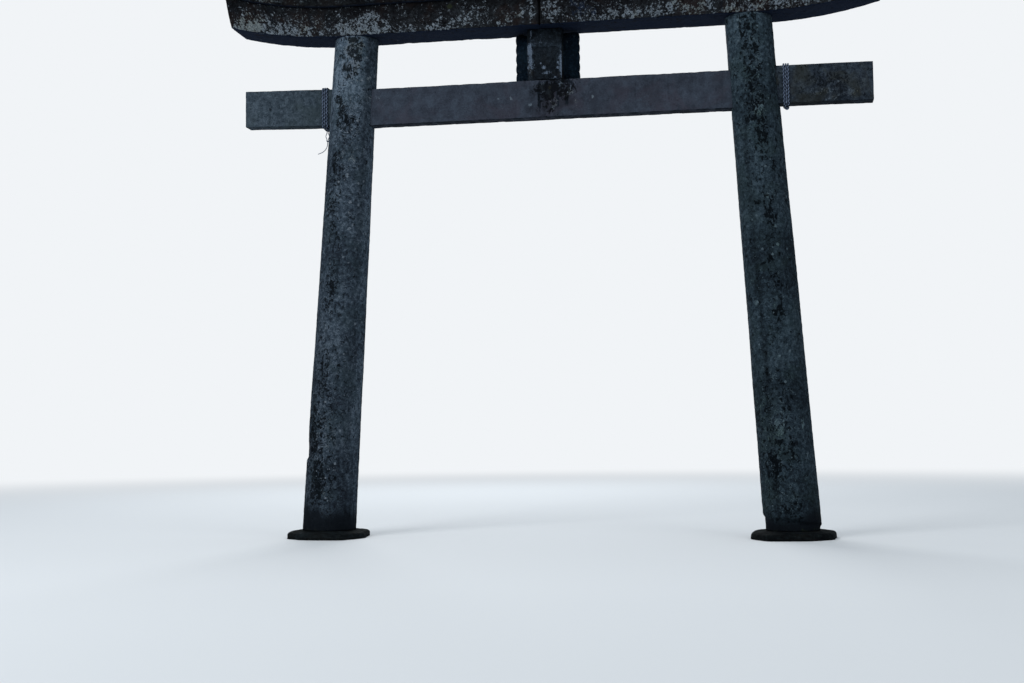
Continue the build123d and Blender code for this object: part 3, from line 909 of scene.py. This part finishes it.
def makeBeamStones(look, wear):
    half = gate["beamHalf"]
    low = (-look["middleReach"], -half, gate["beamLow"])
    high = (look["middleReach"], half, gate["beamHigh"])
    bm = stoneBlock(low, high, look["bevel"], look["step"])
    wearStone(bm, wear, low, high)
    made = {"middle": finishPiece("nuki_middle", bm, beamFinish)}
    for sideName, side in twoSides:
        ends = sorted((side * look["noseStart"], side * gate["noseReach"]))
        low = (ends[0], -half, gate["noseLow"])
        high = (ends[1], half, gate["noseHigh"])
        bm = stoneBlock(low, high, look["bevel"], look["step"])
        wearStone(bm, dict(wear, seed=(9.0 * side, 1.0, 2.0), chipDepth=look["noseChip"]), low, high)
        for vert in bm.verts:
            vert.co.z += noseShift(sideName, abs(vert.co.x))
        finish = leftNoseFinish if side < 0 else rightNoseFinish
        made[sideName] = finishPiece("nuki_nose_" + sideName, bm, finish)
    return made


def beamBackground(place, normal):
    top = normal[:, 2] > 0.6
    under = normal[:, 2] < -0.6
    return {
        "lichen": 0.06 + 0.30 * top - 0.2 * under,
        # undersides darker as painted shade, and all of the stone a little darker at the very bottom
        "stainAndShade": 0.55 * under + 0.10 * ramp(place[:, 2], 4.70, 4.67),
        "moss": 0.28 * top,
    }


beamPatches = {
    "left": {
        "stainAndShade": [
            (-3.235, 4.899, 0.022, 0.035, 0.8), (-3.115, 4.928, 0.018, 0.035, 0.6),
            (-3.2, 4.75, 0.05, 0.04, 0.3),
        ],
    },
    "middle": {
        "shade": [
            (0.06, 4.9, 0.33, 0.36, -0.42), (-1.4, 4.86, 0.5, 0.22, 0.08),
            (1.55, 4.8, 0.3, 0.14, 0.12), (1.15, 4.9, 0.14, 0.22, -0.14),
        ],
        "growth": [
            (0.09, 5.0, 0.36, 0.19, 1.1), (0.01, 4.84, 0.19, 0.3, 0.75),
        ],
        "stainAndShade": [
            (-0.095, 4.87, 0.03, 0.3, 0.9), (0.114, 4.84, 0.03, 0.19, 0.8),
            (0.02, 5.05, 0.18, 0.06, 0.6), (0.23, 5.05, 0.15, 0.05, 0.6),
            (0.2, 4.86, 0.035, 0.16, 0.8), (0.28, 4.95, 0.03, 0.12, 0.7),
        ],
        "moss": [(0.03, 5.02, 0.11, 0.07, 0.42)],
        "lichen": [
            (0.015, 4.93, 0.06, 0.07, 0.8), (0.225, 4.935, 0.11, 0.07, 0.7),
            (-0.06, 5.0, 0.04, 0.1, 0.75), (0.06, 4.8, 0.08, 0.1, 0.52),
            (0.15, 5.02, 0.045, 0.05, 0.65), (0.32, 4.82, 0.05, 0.06, 0.5),
            (-0.415, 4.894, 0.028, 0.036, 0.95), (-0.555, 4.89, 0.022, 0.022, 0.8),
            (-0.2, 4.804, 0.026, 0.026, 0.9), (0.508, 4.87, 0.024, 0.024, 0.95),
            (-1.95, 4.985, 0.06, 0.03, 0.45),
        ],
    },
    "right": {
        "stainAndShade": [
            (2.86, 4.95, 0.11, 0.11, 0.6), (3.23, 4.85, 0.12, 0.11, 0.6),
            (2.96, 4.78, 0.3, 0.08, 0.4),
        ],
        "moss": [(3.15, 5.02, 0.3, 0.09, 0.3)],
        "lichen": [
            (3.0, 4.8, 0.26, 0.07, 0.52), (3.18, 4.9, 0.2, 0.1, 0.34),
            (3.092, 4.715, 0.09, 0.04, 0.6), (3.3, 4.76, 0.14, 0.08, 0.45),
        ],
        "shade": [(3.0, 4.76, 0.5, 0.16, -0.32)],
        "growth": [(3.05, 4.93, 0.3, 0.12, 0.5)],
    },
}
beamStones = makeBeamStones(beamLook, beamWear)
for key, stone in beamStones.items():
    paintPiece(stone, beamBackground, beamPatches[key])
print("tie beam ready")


# Strut with a sunk panel

strutLook = {
    "half": (0.196, 0.086),  # half its width and half its depth
    "sideBorder": 0.062,
    "topBorder": 0.212,
    "bottomBorder": 0.020,
    "recess": 0.010,
    "panelHalf": 0.132,     # bounds of the stained panel
    "panelFront": -0.070,
    "panelTop": 5.450,
    "bevel": 0.004,
    "step": 0.0105,
}
strutWear = dict(wearLook, seed=(0.3, 0.9, 0.2), waveDepth=0.002, roughDepth=0.0012, pitDepth=0.002,
                 arrisLoss=0.0015, chipDepth=0.007)
strutFinish = stoneFinish("strutGranite", dict(
    granite, shift=(0.7, 0.2, 0.4), dark="0e1217", middle="181e24", light="28313a",
    tint="201c16", tintPull=0.75, lichen="5e6b7b", lichenDark="36404c",
    lichenWarm="5a6167", lichenScale=34.0, grime="06080b", grimeScale=26.0,
    stainAndShade="0c0b0b", depth=0.004))


def makeStrut(look, wear, finish):
    halfX, halfY = look["half"]
    low = (gate["strutMiddle"] - halfX, -halfY, gate["beamHigh"])
    high = (gate["strutMiddle"] + halfX, halfY, gate["pillarTop"])
    bm = plainBlock(low, high)
    sills = (low[2] + look["bottomBorder"], high[2] - look["topBorder"])
    jambs = (low[0] + look["sideBorder"], high[0] - look["sideBorder"])
    cuts = [((0, 0, z), (0, 0, 1)) for z in sills] + [((x, 0, 0), (1, 0, 0)) for x in jambs]
    for place, way in cuts:
        everything = bm.verts[:] + bm.edges[:] + bm.faces[:]
        bmesh.ops.bisect_plane(bm, geom=everything, plane_co=place, plane_no=way)
    centre = Vector((sum(jambs) / 2, low[1], sum(sills) / 2))
    panel = min(bm.faces, key=lambda face: (face.calc_center_median() - centre).length)
    sunk = bmesh.ops.extrude_discrete_faces(bm, faces=[panel])["faces"]
    bmesh.ops.translate(bm, vec=(0, look["recess"], 0), verts=sunk[0].verts)
    bevelEdges(bm, look["bevel"])
    cutGrid(bm, look["step"])
    wearStone(bm, wear, low, high)
    return finishPiece("gakuzuka", bm, finish)


def strutBackground(place, normal):
    x, y, z = place.T
    inPanel = np.abs(x - gate["strutMiddle"]) < strutLook["panelHalf"]
    inPanel = inPanel & (y < strutLook["panelFront"]) & (z < strutLook["panelTop"])
    return {
        "lichen": 0.10 - 0.1 * inPanel,
        "stainAndShade": 0.40 * inPanel,
        "moss": 0.10 * inPanel,
        # the top, just under the lintel, darker as a painted shadow; the panel darker stone
        "shade": -0.50 * ramp(z, 5.48, 5.55) - 0.15 * inPanel,
    }


strutPatches = {
    "lichen": [
        (-0.182, 5.33, 0.05, 0.24, 0.75), (-0.19, 5.44, 0.035, 0.09, 0.4),
        (0.15, 5.25, 0.026, 0.21, 1.0), (0.12, 5.274, 0.018, 0.016, 1.2),
        (0.118, 5.217, 0.02, 0.018, 1.2), (0.085, 5.107, 0.03, 0.018, 1.1),
        (-0.05, 5.505, 0.115, 0.04, 0.75), (-0.038, 5.22, 0.04, 0.04, 0.95),
        (0.02, 5.16, 0.06, 0.03, 0.7), (-0.075, 5.27, 0.02, 0.04, 0.75),
        (-0.035, 5.15, 0.04, 0.025, 0.8), (-0.185, 5.61, 0.014, 0.08, 0.55),
    ],
    "stainAndShade": [(0.07, 5.5, 0.04, 0.06, 0.6)],
}
strut = makeStrut(strutLook, strutWear, strutFinish)
paintPiece(strut, strutBackground, strutPatches)
print("strut ready")


# Tablet on the far face: a wavy moulded border round a plain board

tabletLook = {
    "centre": (-0.020, 5.3673),
    "back": 0.086,
    "width": 0.726,
    "height": 0.566,
    "border": 0.084,
    "depth": 0.072,
    "bumpRise": 0.009,
    "levelBumps": 6,
    "sideBumps": 5,
    "bumpParts": 10,
    "longEdge": 0.028,      # longer edges of the border's walls are divided
    "boardThickness": 0.032,
    "boardRough": 0.0005,
    "boardBevel": 0.003,
    "boardStep": 0.012,
    # the border's profile from the outer edge inwards: step in, depth behind the highest part
    "profile": [
        (0.000, 0.030), (0.002, 0.014), (0.007, 0.006), (0.014, 0.002), (0.022, 0.000), (0.030, 0.002),
        (0.036, 0.007), (0.040, 0.014), (0.047, 0.017), (0.056, 0.017), (0.063, 0.014), (0.067, 0.008),
        (0.072, 0.005), (0.078, 0.006), (0.082, 0.010), (0.084, 0.016), (0.084, 0.030), (0.084, 0.070),
    ],
}
tabletWear = dict(wearLook, seed=(4.0, 0.0, 1.0), waveDepth=0.001, roughDepth=0.0008, pitDepth=0.0012,
                  sink=0.0004)
tabletFinish = stoneFinish("tabletGranite", dict(
    granite, shift=(2.2, 0.9, 0.5), dark="091119", middle="0e1924", light="1a2733",
    tint="101c23", lichen="3c4852", lichenDark="232d36", stainAndShade="070a0e",
    mottleScale=30.0, grimeScale=30.0, depth=0.003))


def wavyOutline(look):  # points round the tablet's border, each with its partner on the inner edge
    halfX = look["width"] / 2 - look["bumpRise"]
    halfZ = look["height"] / 2 - look["bumpRise"]
    innerX = look["width"] / 2 - look["border"]
    innerZ = look["height"] / 2 - look["border"]
    corners = [(-1, -1), (1, -1), (1, 1), (-1, 1)]
    pairs = []
    for index, (sx, sz) in enumerate(corners):
        ex, ez = corners[(index + 1) % 4]
        bumps = look["levelBumps"] if sz == ez else look["sideBumps"]
        parts = bumps * look["bumpParts"]
        for part in range(parts):
            share = part / parts
            rise = look["bumpRise"] * math.sin(math.pi * ((share * bumps) % 1.0))
            x = sx + (ex - sx) * share
            z = sz + (ez - sz) * share
            outX = (ez - sz) / 2 * rise
            outZ = -(ex - sx) / 2 * rise
            pairs.append(((x * halfX + outX, z * halfZ + outZ), (x * innerX, z * innerZ)))
    return pairs


def makeTablet(look, wear, finish):
    cx, cz = look["centre"]
    front = look["back"] + look["depth"]
    pairs = wavyOutline(look)
    bm = bmesh.new()
    ring = [bm.verts.new((cx + outer[0], look["back"], cz + outer[1])) for outer, inner in pairs]
    bm.faces.new(ring)
    loop = bm.edges[:]
    for stepIn, behind in look["profile"]:
        verts, loop = extrudeLoop(bm, loop)
        share = stepIn / look["border"]
        for vert, (outer, inner) in zip(verts, pairs):
            vert.co = (cx + outer[0] + (inner[0] - outer[0]) * share, front - behind,
                       cz + outer[1] + (inner[1] - outer[1]) * share)
    bmesh.ops.edgeloop_fill(bm, edges=loop)
    bmesh.ops.recalc_face_normals(bm, faces=bm.faces)
    walls = [edge for edge in bm.edges
             if edge.calc_length() > look["longEdge"] and len(edge.link_faces) == 2
             and all(len(face.verts) == 4 for face in edge.link_faces)]
    bmesh.ops.subdivide_edges(bm, edges=walls, cuts=3, use_grid_fill=True)
    wearStone(bm, wear)
    border = finishPiece("tablet_frame", bm, finish)
    halfX = look["width"] / 2 - look["border"]
    halfZ = look["height"] / 2 - look["border"]
    low = (cx - halfX, look["back"], cz - halfZ)
    high = (cx + halfX, look["back"] + look["boardThickness"], cz + halfZ)
    bm = stoneBlock(low, high, look["boardBevel"], look["boardStep"])
    wearStone(bm, dict(wear, roughDepth=look["boardRough"]), low, high)
    board = finishPiece("tablet_panel", bm, finish)
    return border, board


def tabletBackground(place, normal):
    top = normal[:, 2] > 0.5
    return {
        "lichen": 0.12 + 0.25 * top,
        # darker towards the top, just under the lintel
        "stainAndShade": 0.5 * ramp(place[:, 2], 5.56, 5.62),
        "moss": 0.15 * top,
    }


for stone in makeTablet(tabletLook, tabletWear, tabletFinish):
    paintPiece(stone, tabletBackground)
print("tablet ready")


# Lintels: two stones each, level in the middle and curved upwards towards both ends

lintelLook = {
    "flatReach": 2.350,     # level so far from the middle on either side
    "joint": -0.060,
    "gap": 0.004,           # at the open edges of the joint
    "jointDepth": 0.03,
    "jointRoom": 0.0004,
    "flattened": 0.013,     # how far from a bed or joint the wear is evened out
    "endSlant": 12.0,       # degrees by which the ends lean outwards
    "step": 0.014,
    "shimaki": {
        "low": 5.665, "lowCurve": 5.000, "high": 6.003, "highCurve": 4.662,
        "ridge": 6.003, "ridgeCurve": 4.662, "half": 0.2475, "reach": 3.650,
        "bevel": 0.009, "bed": 6.0026, "nearCrust": 1.0,
    },
    "kasagi": {
        "low": 6.003, "lowCurve": 4.662, "high": 6.268, "highCurve": 4.369,
        "ridge": 6.373, "ridgeCurve": 4.236, "half": 0.2875, "reach": 3.790,
        "bevel": 0.008, "bed": 6.0034, "nearCrust": 0.20,
    },
}
lintelWear = dict(wearLook, waveScale=1.5, waveDepth=0.005, roughDepth=0.0018, chipScale=8.0,
                  chipDepth=0.015)


def risen(look, curve, x):  # how far a curved line has risen at a distance from the middle
    out = max(abs(x) - look["flatReach"], 0.0)
    return curve - math.sqrt(curve * curve - out * out)


def bendStone(bm, look, part, side):  # takes the straight worn stone to its curved place
    rootX = look["joint"] + side * look["gap"] / 2
    reach = side * part["reach"]
    slant = math.tan(math.radians(look["endSlant"]))
    cornerHeight = part["low"] + risen(look, part["lowCurve"], reach)
    for vert in bm.verts:
        share = (vert.co.x - rootX) / (reach - rootX)
        up = (vert.co.z - part["low"]) / (part["high"] - part["low"])
        slope = max(1 - abs(vert.co.y) / part["half"], 0.0)
        endX = reach
        for attempt in range(4):  # the reach of a slanted end and the height there depend on each other
            x = rootX + share * (endX - rootX)
            under = part["low"] + risen(look, part["lowCurve"], x)
            eave = part["high"] + risen(look, part["highCurve"], x)
            ridge = part["ridge"] + risen(look, part["ridgeCurve"], x)
            z = under + up * (eave + slope * (ridge - eave) - under)
            endX = reach + side * slant * (z - cornerHeight)
        vert.co.x = x
        vert.co.z = z


def makeLintelStone(kind, sideName, side, look, wear, finish):
    part = look[kind]
    rootX = look["joint"] + side * look["gap"] / 2
    ends = sorted((rootX, side * part["reach"]))
    low = (ends[0], -part["half"], part["low"])
    high = (ends[1], part["half"], part["high"])
    bm = stoneBlock(low, high, part["bevel"], look["step"])
    wearStone(bm, wear, low, high)
    for vert in bm.verts:  # where one lintel lies on the other, both are flat
        if abs(vert.co.z - part["bed"]) < look["flattened"]:
            vert.co.z = part["bed"]
        # behind the open edges of the joint, the two stones of a lintel all but touch
        inside = abs(vert.co.y) < part["half"] - look["jointDepth"]
        if inside and abs(vert.co.x - rootX) < look["flattened"]:
            vert.co.x = look["joint"] + side * look["jointRoom"]
    rememberStraight(bm)
    bendStone(bm, look, part, side)
    return finishPiece(kind + "_" + sideName, bm, finish)


# The dark blue stain colours of both lintels also give the painted shade of their undersides.
shimakiFinish = stoneFinish("shimakiGranite", dict(
    granite, shift=(1.9, 0.3, 0.9), follow="straightStone", dark="0d0e11", middle="15171a",
    light="22262a", tint="1c1615", tintPull=0.75, stainAndShade="141d2d", grime="050607",
    lichen="717b84", lichenDark="343c44", lichenWarm="6c7474", lichenScale=15.0,
    lichenStretch=0.8, lichenLace=4.2, dotPull=0.7))
kasagiFinish = stoneFinish("kasagiGranite", dict(
    granite, shift=(6.4, 1.3, 0.5), follow="straightStone", dark="08090b", middle="101214",
    light="1d2022", tint="161211", tintPull=0.7, stainAndShade="121822", grime="040405",
    lichen="535c62", lichenDark="282f34", lichenWarm="525755", lichenScale=17.0,
    lichenStretch=0.8, lichenLace=4.2, dotPull=0.7))


def lintelBackground(kind, look):
    part = look[kind]

    def background(place, normal):
        x, y, z = place.T
        slow = patchiness(place, 2.2, part["low"])
        under = normal[:, 2] < -0.6
        top = normal[:, 2] > 0.6
        sides = ~under & ~top
        # at both ends and on the far face, the lichen is guessed
        unseen = ramp(np.abs(x), 2.8, 3.0) * (normal[:, 1] < 0) + (normal[:, 1] > 0.25)
        upper = ramp(z, part["low"], part["high"])
        broad = patchiness(place, 0.9, 5.0 + part["low"])
        near = normal[:, 1] < -0.25
        low = ramp(upper, 0.62, 0.12)
        crust = 0.06 + 0.05 * slow + unseen * np.clip(0.10 + 0.70 * slow, 0, 0.7) * (1 - upper)
        nearCrust = np.clip(0.18 + 0.22 * slow + 0.24 * broad, 0, 0.5) * part["nearCrust"]
        crust = crust + near * low * nearCrust
        joint = hump(x, look["joint"], 0.026)
        return {
            "lichen": crust * sides + (0.36 + 0.30 * slow) * top - 0.2 * under - joint,
            # Undersides dark blue as painted shade, with the blue of skylight; on the sides a slowly
            # varying stain.
            "stainAndShade": 0.85 * under + 0.15 * slow * sides,
            "moss": (0.42 + 0.3 * slow) * top + 0.15 * sides * upper,
            # Painted shade: the upper part of the sides darker, on the shimaki the shadow under the
            # kasagi's overhang, and the undersides darker. The top is paler than the sides, whose
            # colours keep the painted shade. The joint is a dark line.
            "shade": 0.4 * top - 0.30 * ramp(upper, 0.60, 0.75) * sides - 0.9 * joint - 0.15 * under,
            "growth": 0.10 * near,
        }
    return background


lintelPatches = {
    "shimaki_left": {
        "lichen": [
            (-3.42, 5.8, 0.196, 0.209, 0.18), (-3.16, 5.76, 0.138, 0.165, 0.08),
            (-2.83, 5.77, 0.287, 0.187, 0.36), (-2.52, 5.72, 0.127, 0.099, 0.24),
            (-2.36, 5.78, 0.092, 0.187, 0.58), (-2.27, 5.77, 0.057, 0.11, 0.37),
            (-2.02, 5.79, 0.287, 0.22, 0.58), (-1.7, 5.675, 0.115, 0.022, 0.41),
            (-1.52, 5.7, 0.103, 0.066, 0.41), (-1.25, 5.7, 0.149, 0.066, 0.44),
            (-1.17, 5.85, 0.034, 0.165, 0.37), (-1.03, 5.73, 0.184, 0.132, 0.37),
            (-0.9, 5.8, 0.081, 0.176, 0.37), (-0.7, 5.83, 0.184, 0.187, 0.24),
            (-0.505, 5.7, 0.081, 0.055, 0.41), (-0.395, 5.74, 0.063, 0.099, 0.51),
            (-0.25, 5.8, 0.115, 0.121, 0.41), (-0.235, 5.8, 0.034, 0.033, 0.48),
            (-0.13, 5.85, 0.052, 0.209, 0.44),
        ],
        "moss": [(-1.07, 5.93, 0.04, 0.035, 1.1)],
    },
    "shimaki_right": {
        "lichen": [
            (0.065, 5.84, 0.149, 0.198, 0.37), (0.185, 5.97, 0.052, 0.099, 0.44),
            (0.65, 5.72, 0.034, 0.044, 0.27), (0.775, 5.74, 0.081, 0.099, 0.41),
            (0.98, 5.74, 0.161, 0.11, 0.51), (1.195, 5.76, 0.103, 0.121, 0.33),
            (1.28, 5.75, 0.057, 0.121, 0.35), (1.425, 5.77, 0.092, 0.132, 0.51),
            (1.595, 5.74, 0.103, 0.088, 0.41), (1.72, 5.78, 0.046, 0.11, 0.39),
            (1.81, 5.8, 0.063, 0.132, 0.51), (2.03, 5.72, 0.207, 0.077, 0.37),
            (2.32, 5.74, 0.172, 0.099, 0.29), (2.565, 5.79, 0.092, 0.11, 0.44),
            (2.78, 5.78, 0.161, 0.099, 0.35),
        ],
        "stainAndShade": [(0.42, 5.83, 0.22, 0.3, 0.45)],
    },
    "kasagi_left": {
        "lichen": [
            (-3.17, 6.08, 0.057, 0.055, 0.4), (-2.81, 6.07, 0.069, 0.044, 0.34),
            (-2.42, 6.08, 0.081, 0.055, 0.36), (-2.05, 6.08, 0.057, 0.055, 0.34),
            (-1.3, 6.06, 0.092, 0.055, 0.2),
        ],
    },
    "kasagi_right": {},
}
for kind, finish in (("shimaki", shimakiFinish), ("kasagi", kasagiFinish)):
    for sideName, side in twoSides:
        wear = dict(lintelWear, seed=(2.7 * side, 1.4, lintelLook[kind]["low"]))
        stone = makeLintelStone(kind, sideName, side, lintelLook, wear, finish)
        paintPiece(stone, lintelBackground(kind, lintelLook), lintelPatches[kind + "_" + sideName])
print("lintels ready")


# Rope and cord: strands laid round the route that the rope follows

ropeFibres = {
    "pale": paint("76839a"),
    "paleDark": paint("4c596b"),
    "blue": paint("1a2638"),
    "blueDark": paint("0e1622"),
    "dirt": paint("0d1117"),
    "yarnRun": 60.0,        # the pattern along the strand, round it, and its twist
    "yarnRound": 5.0,
    "yarnTwist": 130.0,
    "fibreStretch": (0.25, 1.6, 1.0),
    "fibreScale": 1.6,
    "fibreNoise": (4.0, 0.65),
    "fibreEdge": (0.38, 0.62),
    "fibreDepth": 0.0012,
    "dirtScale": 34.0,
    "dirtNoise": (4.0, 0.6),
    "dirtEdge": (0.48, 0.70),
    "dirtPull": 0.6,
}


def ropeFinish(name, look):
    # strandPlace holds the distance along the strand, the way round it and how pale the strand is
    material, tree, shader = startMaterial(name, {"Roughness": 0.85, "Specular IOR Level": 0.1})
    parts = addNode(tree, "SeparateXYZ", {0: mark(tree, "strandPlace", "Vector")})
    along, around, pale = parts.outputs
    twist = reckon(tree, "MULTIPLY", along, look["yarnTwist"])
    yarns = addNode(tree, "CombineXYZ", {
        0: reckon(tree, "MULTIPLY", along, look["yarnRun"]),
        1: reckon(tree, "MULTIPLY_ADD", around, look["yarnRound"], twist),
        2: pale}).outputs[0]
    fibre = lookNoise(tree, look, "fibre", stretch(tree, yarns, look["fibreStretch"]))
    paleMask = soften(tree, pale, 0.4, 0.6)
    light = lay(tree, paleMask, look["blue"], look["pale"])
    dark = lay(tree, paleMask, look["blueDark"], look["paleDark"])
    colour = lay(tree, soften(tree, fibre, *look["fibreEdge"]), dark, light)
    colour = layCover(tree, look, "dirt", lookNoise(tree, look, "dirt", objectPlace(tree)), colour)
    fill(tree, shader, {"Base Color": colour, "Normal": relief(tree, fibre, look["fibreDepth"])})
    return material


def curveMesh(curve):  # the mesh that a curve gives, and the curve is used up
    holder = bpy.data.objects.new(curve.name, curve)
    mesh = bpy.data.meshes.new_from_object(holder)
    bpy.data.objects.remove(holder)
    bpy.data.curves.remove(curve)
    return mesh


def runLengths(points):  # from the start of a line to each of its points
    runs = [0.0]
    for here, there in zip(points, points[1:]):
        runs.append(runs[-1] + (there - here).length)
    return runs


def pathPoints(name, route, step, closed=False):  # even steps along the smooth line of a route
    curve = bpy.data.curves.new(name, "CURVE")
    curve.dimensions = "3D"
    curve.resolution_u = 24
    spline = curve.splines.new("NURBS")
    spline.points.add(len(route) - 1)
    for point, place in zip(spline.points, route):
        point.co = (*place, 1.0)
    spline.order_u = 3
    spline.use_endpoint_u = not closed
    spline.use_cyclic_u = closed
    line = curveMesh(curve)
    dense = [vert.co.copy() for vert in line.vertices]
    bpy.data.meshes.remove(line)
    if closed:
        dense.append(dense[0].copy())
    runs = runLengths(dense)
    stops = np.linspace(0, runs[-1], max(round(runs[-1] / step), 2) + 1)
    axes = [np.interp(stops, runs, [spot[axis] for spot in dense]) for axis in range(3)]
    return [Vector(spot) for spot in zip(*axes)]


def uprightFrames(points):  # two directions across the line at each point, with no twist between points
    way = (points[1] - points[0]).normalized()
    across = way.orthogonal().normalized()
    frames = []
    for index in range(len(points)):
        ahead = points[min(index + 1, len(points) - 1)] - points[max(index - 1, 0)]
        newWay = ahead.normalized()
        across = way.rotation_difference(newWay) @ across
        across = (across - newWay * across.dot(newWay)).normalized()
        way = newWay
        frames.append((across, way.cross(across)))
    return frames


def strandTubes(name, points, look, closed=False):  # one mesh of all strands, with their places
    frames = uprightFrames(points)
    runs = runLengths(points)
    turns = runs[-1] / look["pitch"]
    if closed:
        turns = max(round(turns), 1)
    sides = 4 + 2 * look["roundness"]
    bm = bmesh.new()
    layer = bm.verts.layers.float_vector.new("strandPlace")
    for strand in range(look["strands"]):
        curve = bpy.data.curves.new(name, "CURVE")
        curve.dimensions = "3D"
        curve.bevel_depth = look["strandRadius"]
        curve.bevel_resolution = look["roundness"]
        curve.use_fill_caps = True
        spline = curve.splines.new("POLY")
        spline.points.add(len(points) - 1)
        for index, (point, (across, third)) in enumerate(zip(points, frames)):
            angle = 2 * math.pi * (strand / look["strands"] + turns * runs[index] / runs[-1])
            place = point + (across * math.cos(angle) + third * math.sin(angle)) * look["offset"]
            spline.points[index].co = (*place, 1.0)
        tube = curveMesh(curve)
        first = len(bm.verts)
        bm.from_mesh(tube)
        bm.verts.ensure_lookup_table()
        for index in range(len(tube.vertices)):
            ring = min(index // sides, len(runs) - 1)
            bm.verts[first + index][layer] = (runs[ring], (index % sides) / sides, (strand + 1) % 2)
        bpy.data.meshes.remove(tube)
    bmesh.ops.recalc_face_normals(bm, faces=bm.faces)
    return bm


def makeStrands(name, points, look, finish, ending="_laid", closed=False):
    return finishPiece(name, strandTubes(name, points, look, closed), finish, ending)


ropeLook = {
    "strands": 4,
    "strandRadius": 0.0046,
    "offset": 0.0056,       # from the middle of the rope to the middle of a strand
    "pitch": 0.082,
    "roundness": 1,
    "step": 0.0058,
}
knotLook = dict(ropeLook, strands=3, strandRadius=0.0032, offset=0.0031, pitch=0.046, step=0.0042)
cordLook = dict(ropeLook, strands=3, strandRadius=0.0023, offset=0.0022, pitch=0.030, step=0.0030)
bowKnotLook = dict(cordLook, pitch=0.032, step=0.0032)

lashingLook = {
    "middle": {"left": -2.5760, "right": 2.6110},
    "clear": 0.0101,        # from the stone to the middle of the rope
    "knotTop": {"left": 4.6620, "right": 4.6613},
    "knotSize": (0.044, 0.036, 0.034),
    "turns": 3,
    "lead": 0.024,          # from one turn to the next
    "cornerRoom": 0.057,
    "endOffset": 0.010,
    "entry": (0.018, 0.034),  # where both ends enter the knot, from the gate's middle plane
}


def besideCorners(corners, room):  # adds a point shortly before and after every corner
    route = [corners[0]]
    for before, corner, after in zip(corners, corners[1:], corners[2:]):
        for other in (before, after):
            run = Vector(other) - Vector(corner)
            near = Vector(corner) + run * min(room / run.length, 0.45)  # always short of half way
            if other is after:
                route.append(corner)
            route.append(tuple(near))
    route.append(corners[-1])
    return route


def makeLashing(sideName, look, finish):
    middle = look["middle"][sideName]
    shift = noseShift(sideName, abs(middle))
    low = gate["noseLow"] + shift - look["clear"]
    high = gate["noseHigh"] + shift + look["clear"]
    out = gate["beamHalf"] + look["clear"]
    knotHeight = look["knotTop"][sideName] - look["knotSize"][2] / 2
    offset = look["endOffset"]
    corners = [(middle - offset, -y, knotHeight) for y in look["entry"]]
    for turn in range(look["turns"]):
        x = middle + (turn - (look["turns"] - 1) / 2) * look["lead"]
        corners += [(x, -out, low), (x, -out, high), (x, out, high), (x, out, low)]
    corners += [(middle + offset, y, knotHeight) for y in reversed(look["entry"])]
    route = besideCorners(corners, look["cornerRoom"])
    name = "rope_lashing_" + sideName
    points = pathPoints(name, route, ropeLook["step"])
    return makeStrands(name, points, ropeLook, finish)


knotPoints = 24


def makeKnot(name, centre, size, look, finish):  # a tight three-lobed knot in a small box
    thick = look["strandRadius"] + look["offset"]
    reach = [length / 2 - thick for length in size]
    route = []
    for part in range(knotPoints):  # the divisors bring the knot's size to one
        angle = 2 * math.pi * part / knotPoints
        x = (math.sin(angle) + 2 * math.sin(2 * angle)) / 2.65
        y = -math.sin(3 * angle)
        z = (math.cos(angle) - 2 * math.cos(2 * angle)) / 3.0
        route.append(tuple(c + r * share for c, r, share in zip(centre, reach, (x, y, z))))
    points = pathPoints(name, route, look["step"], closed=True)
    return makeStrands(name, points, look, finish, "_tied", closed=True)


bowLook = {
    "foot": (-2.5760, 0.0, 4.5360),       # middle of the small knot's top
    "knotSize": (0.034, 0.026, 0.024),
    "diameter": 0.009,
    # one strand from the large knot down to the small one, out, aside and up from the bow's foot
    "strandRoute": [
        (0.007, 0.000, 0.092),
        (0.007, 0.000, 0.079),
        (0.014, 0.001, 0.064),
        (0.020, 0.002, 0.048),
        (0.019, 0.002, 0.031),
        (0.008, 0.000, 0.014),
        (0.008, 0.000, 0.000),
    ],
    "strandLength": 0.097,
    # the free end, from the middle of the small knot's underside
    "tailRoute": [
        (0.000, 0.000, 0.000),
        (0.000, 0.000, -0.031),
        (-0.009, -0.004, -0.067),
        (-0.032, -0.008, -0.101),
        (-0.069, -0.010, -0.125),
        (-0.112, -0.008, -0.136),
    ],
    "tailLength": 0.197,
}


def makeBow(look, finish):
    foot = Vector(look["foot"])
    knotCentre = foot - Vector((0, 0, look["knotSize"][2] / 2))
    knot = makeKnot("bow_knot", knotCentre, look["knotSize"], bowKnotLook, finish)
    for sideName, side in twoSides:
        route = [tuple(foot + Vector((side * x, side * y, z))) for x, y, z in look["strandRoute"]]
        name = "bow_strand_" + sideName
        points = pathPoints(name, route, cordLook["step"])
        strand = makeStrands(name, points, cordLook, finish)
    tailStart = foot - Vector((0, 0, look["knotSize"][2]))
    route = [tuple(tailStart + Vector(spot)) for spot in look["tailRoute"]]
    points = pathPoints("rope_tail", route, cordLook["step"])
    tail = makeStrands("rope_tail", points, cordLook, finish)


ropeMaterial = ropeFinish("wornRope", ropeFibres)
for sideName in ("left", "right"):
    makeLashing(sideName, lashingLook, ropeMaterial)
    knotCentre = (lashingLook["middle"][sideName], 0.0,
                  lashingLook["knotTop"][sideName] - lashingLook["knotSize"][2] / 2)
    makeKnot("rope_knot_" + sideName, knotCentre, lashingLook["knotSize"], knotLook, ropeMaterial)
makeBow(bowLook, ropeMaterial)
print("ropes ready")
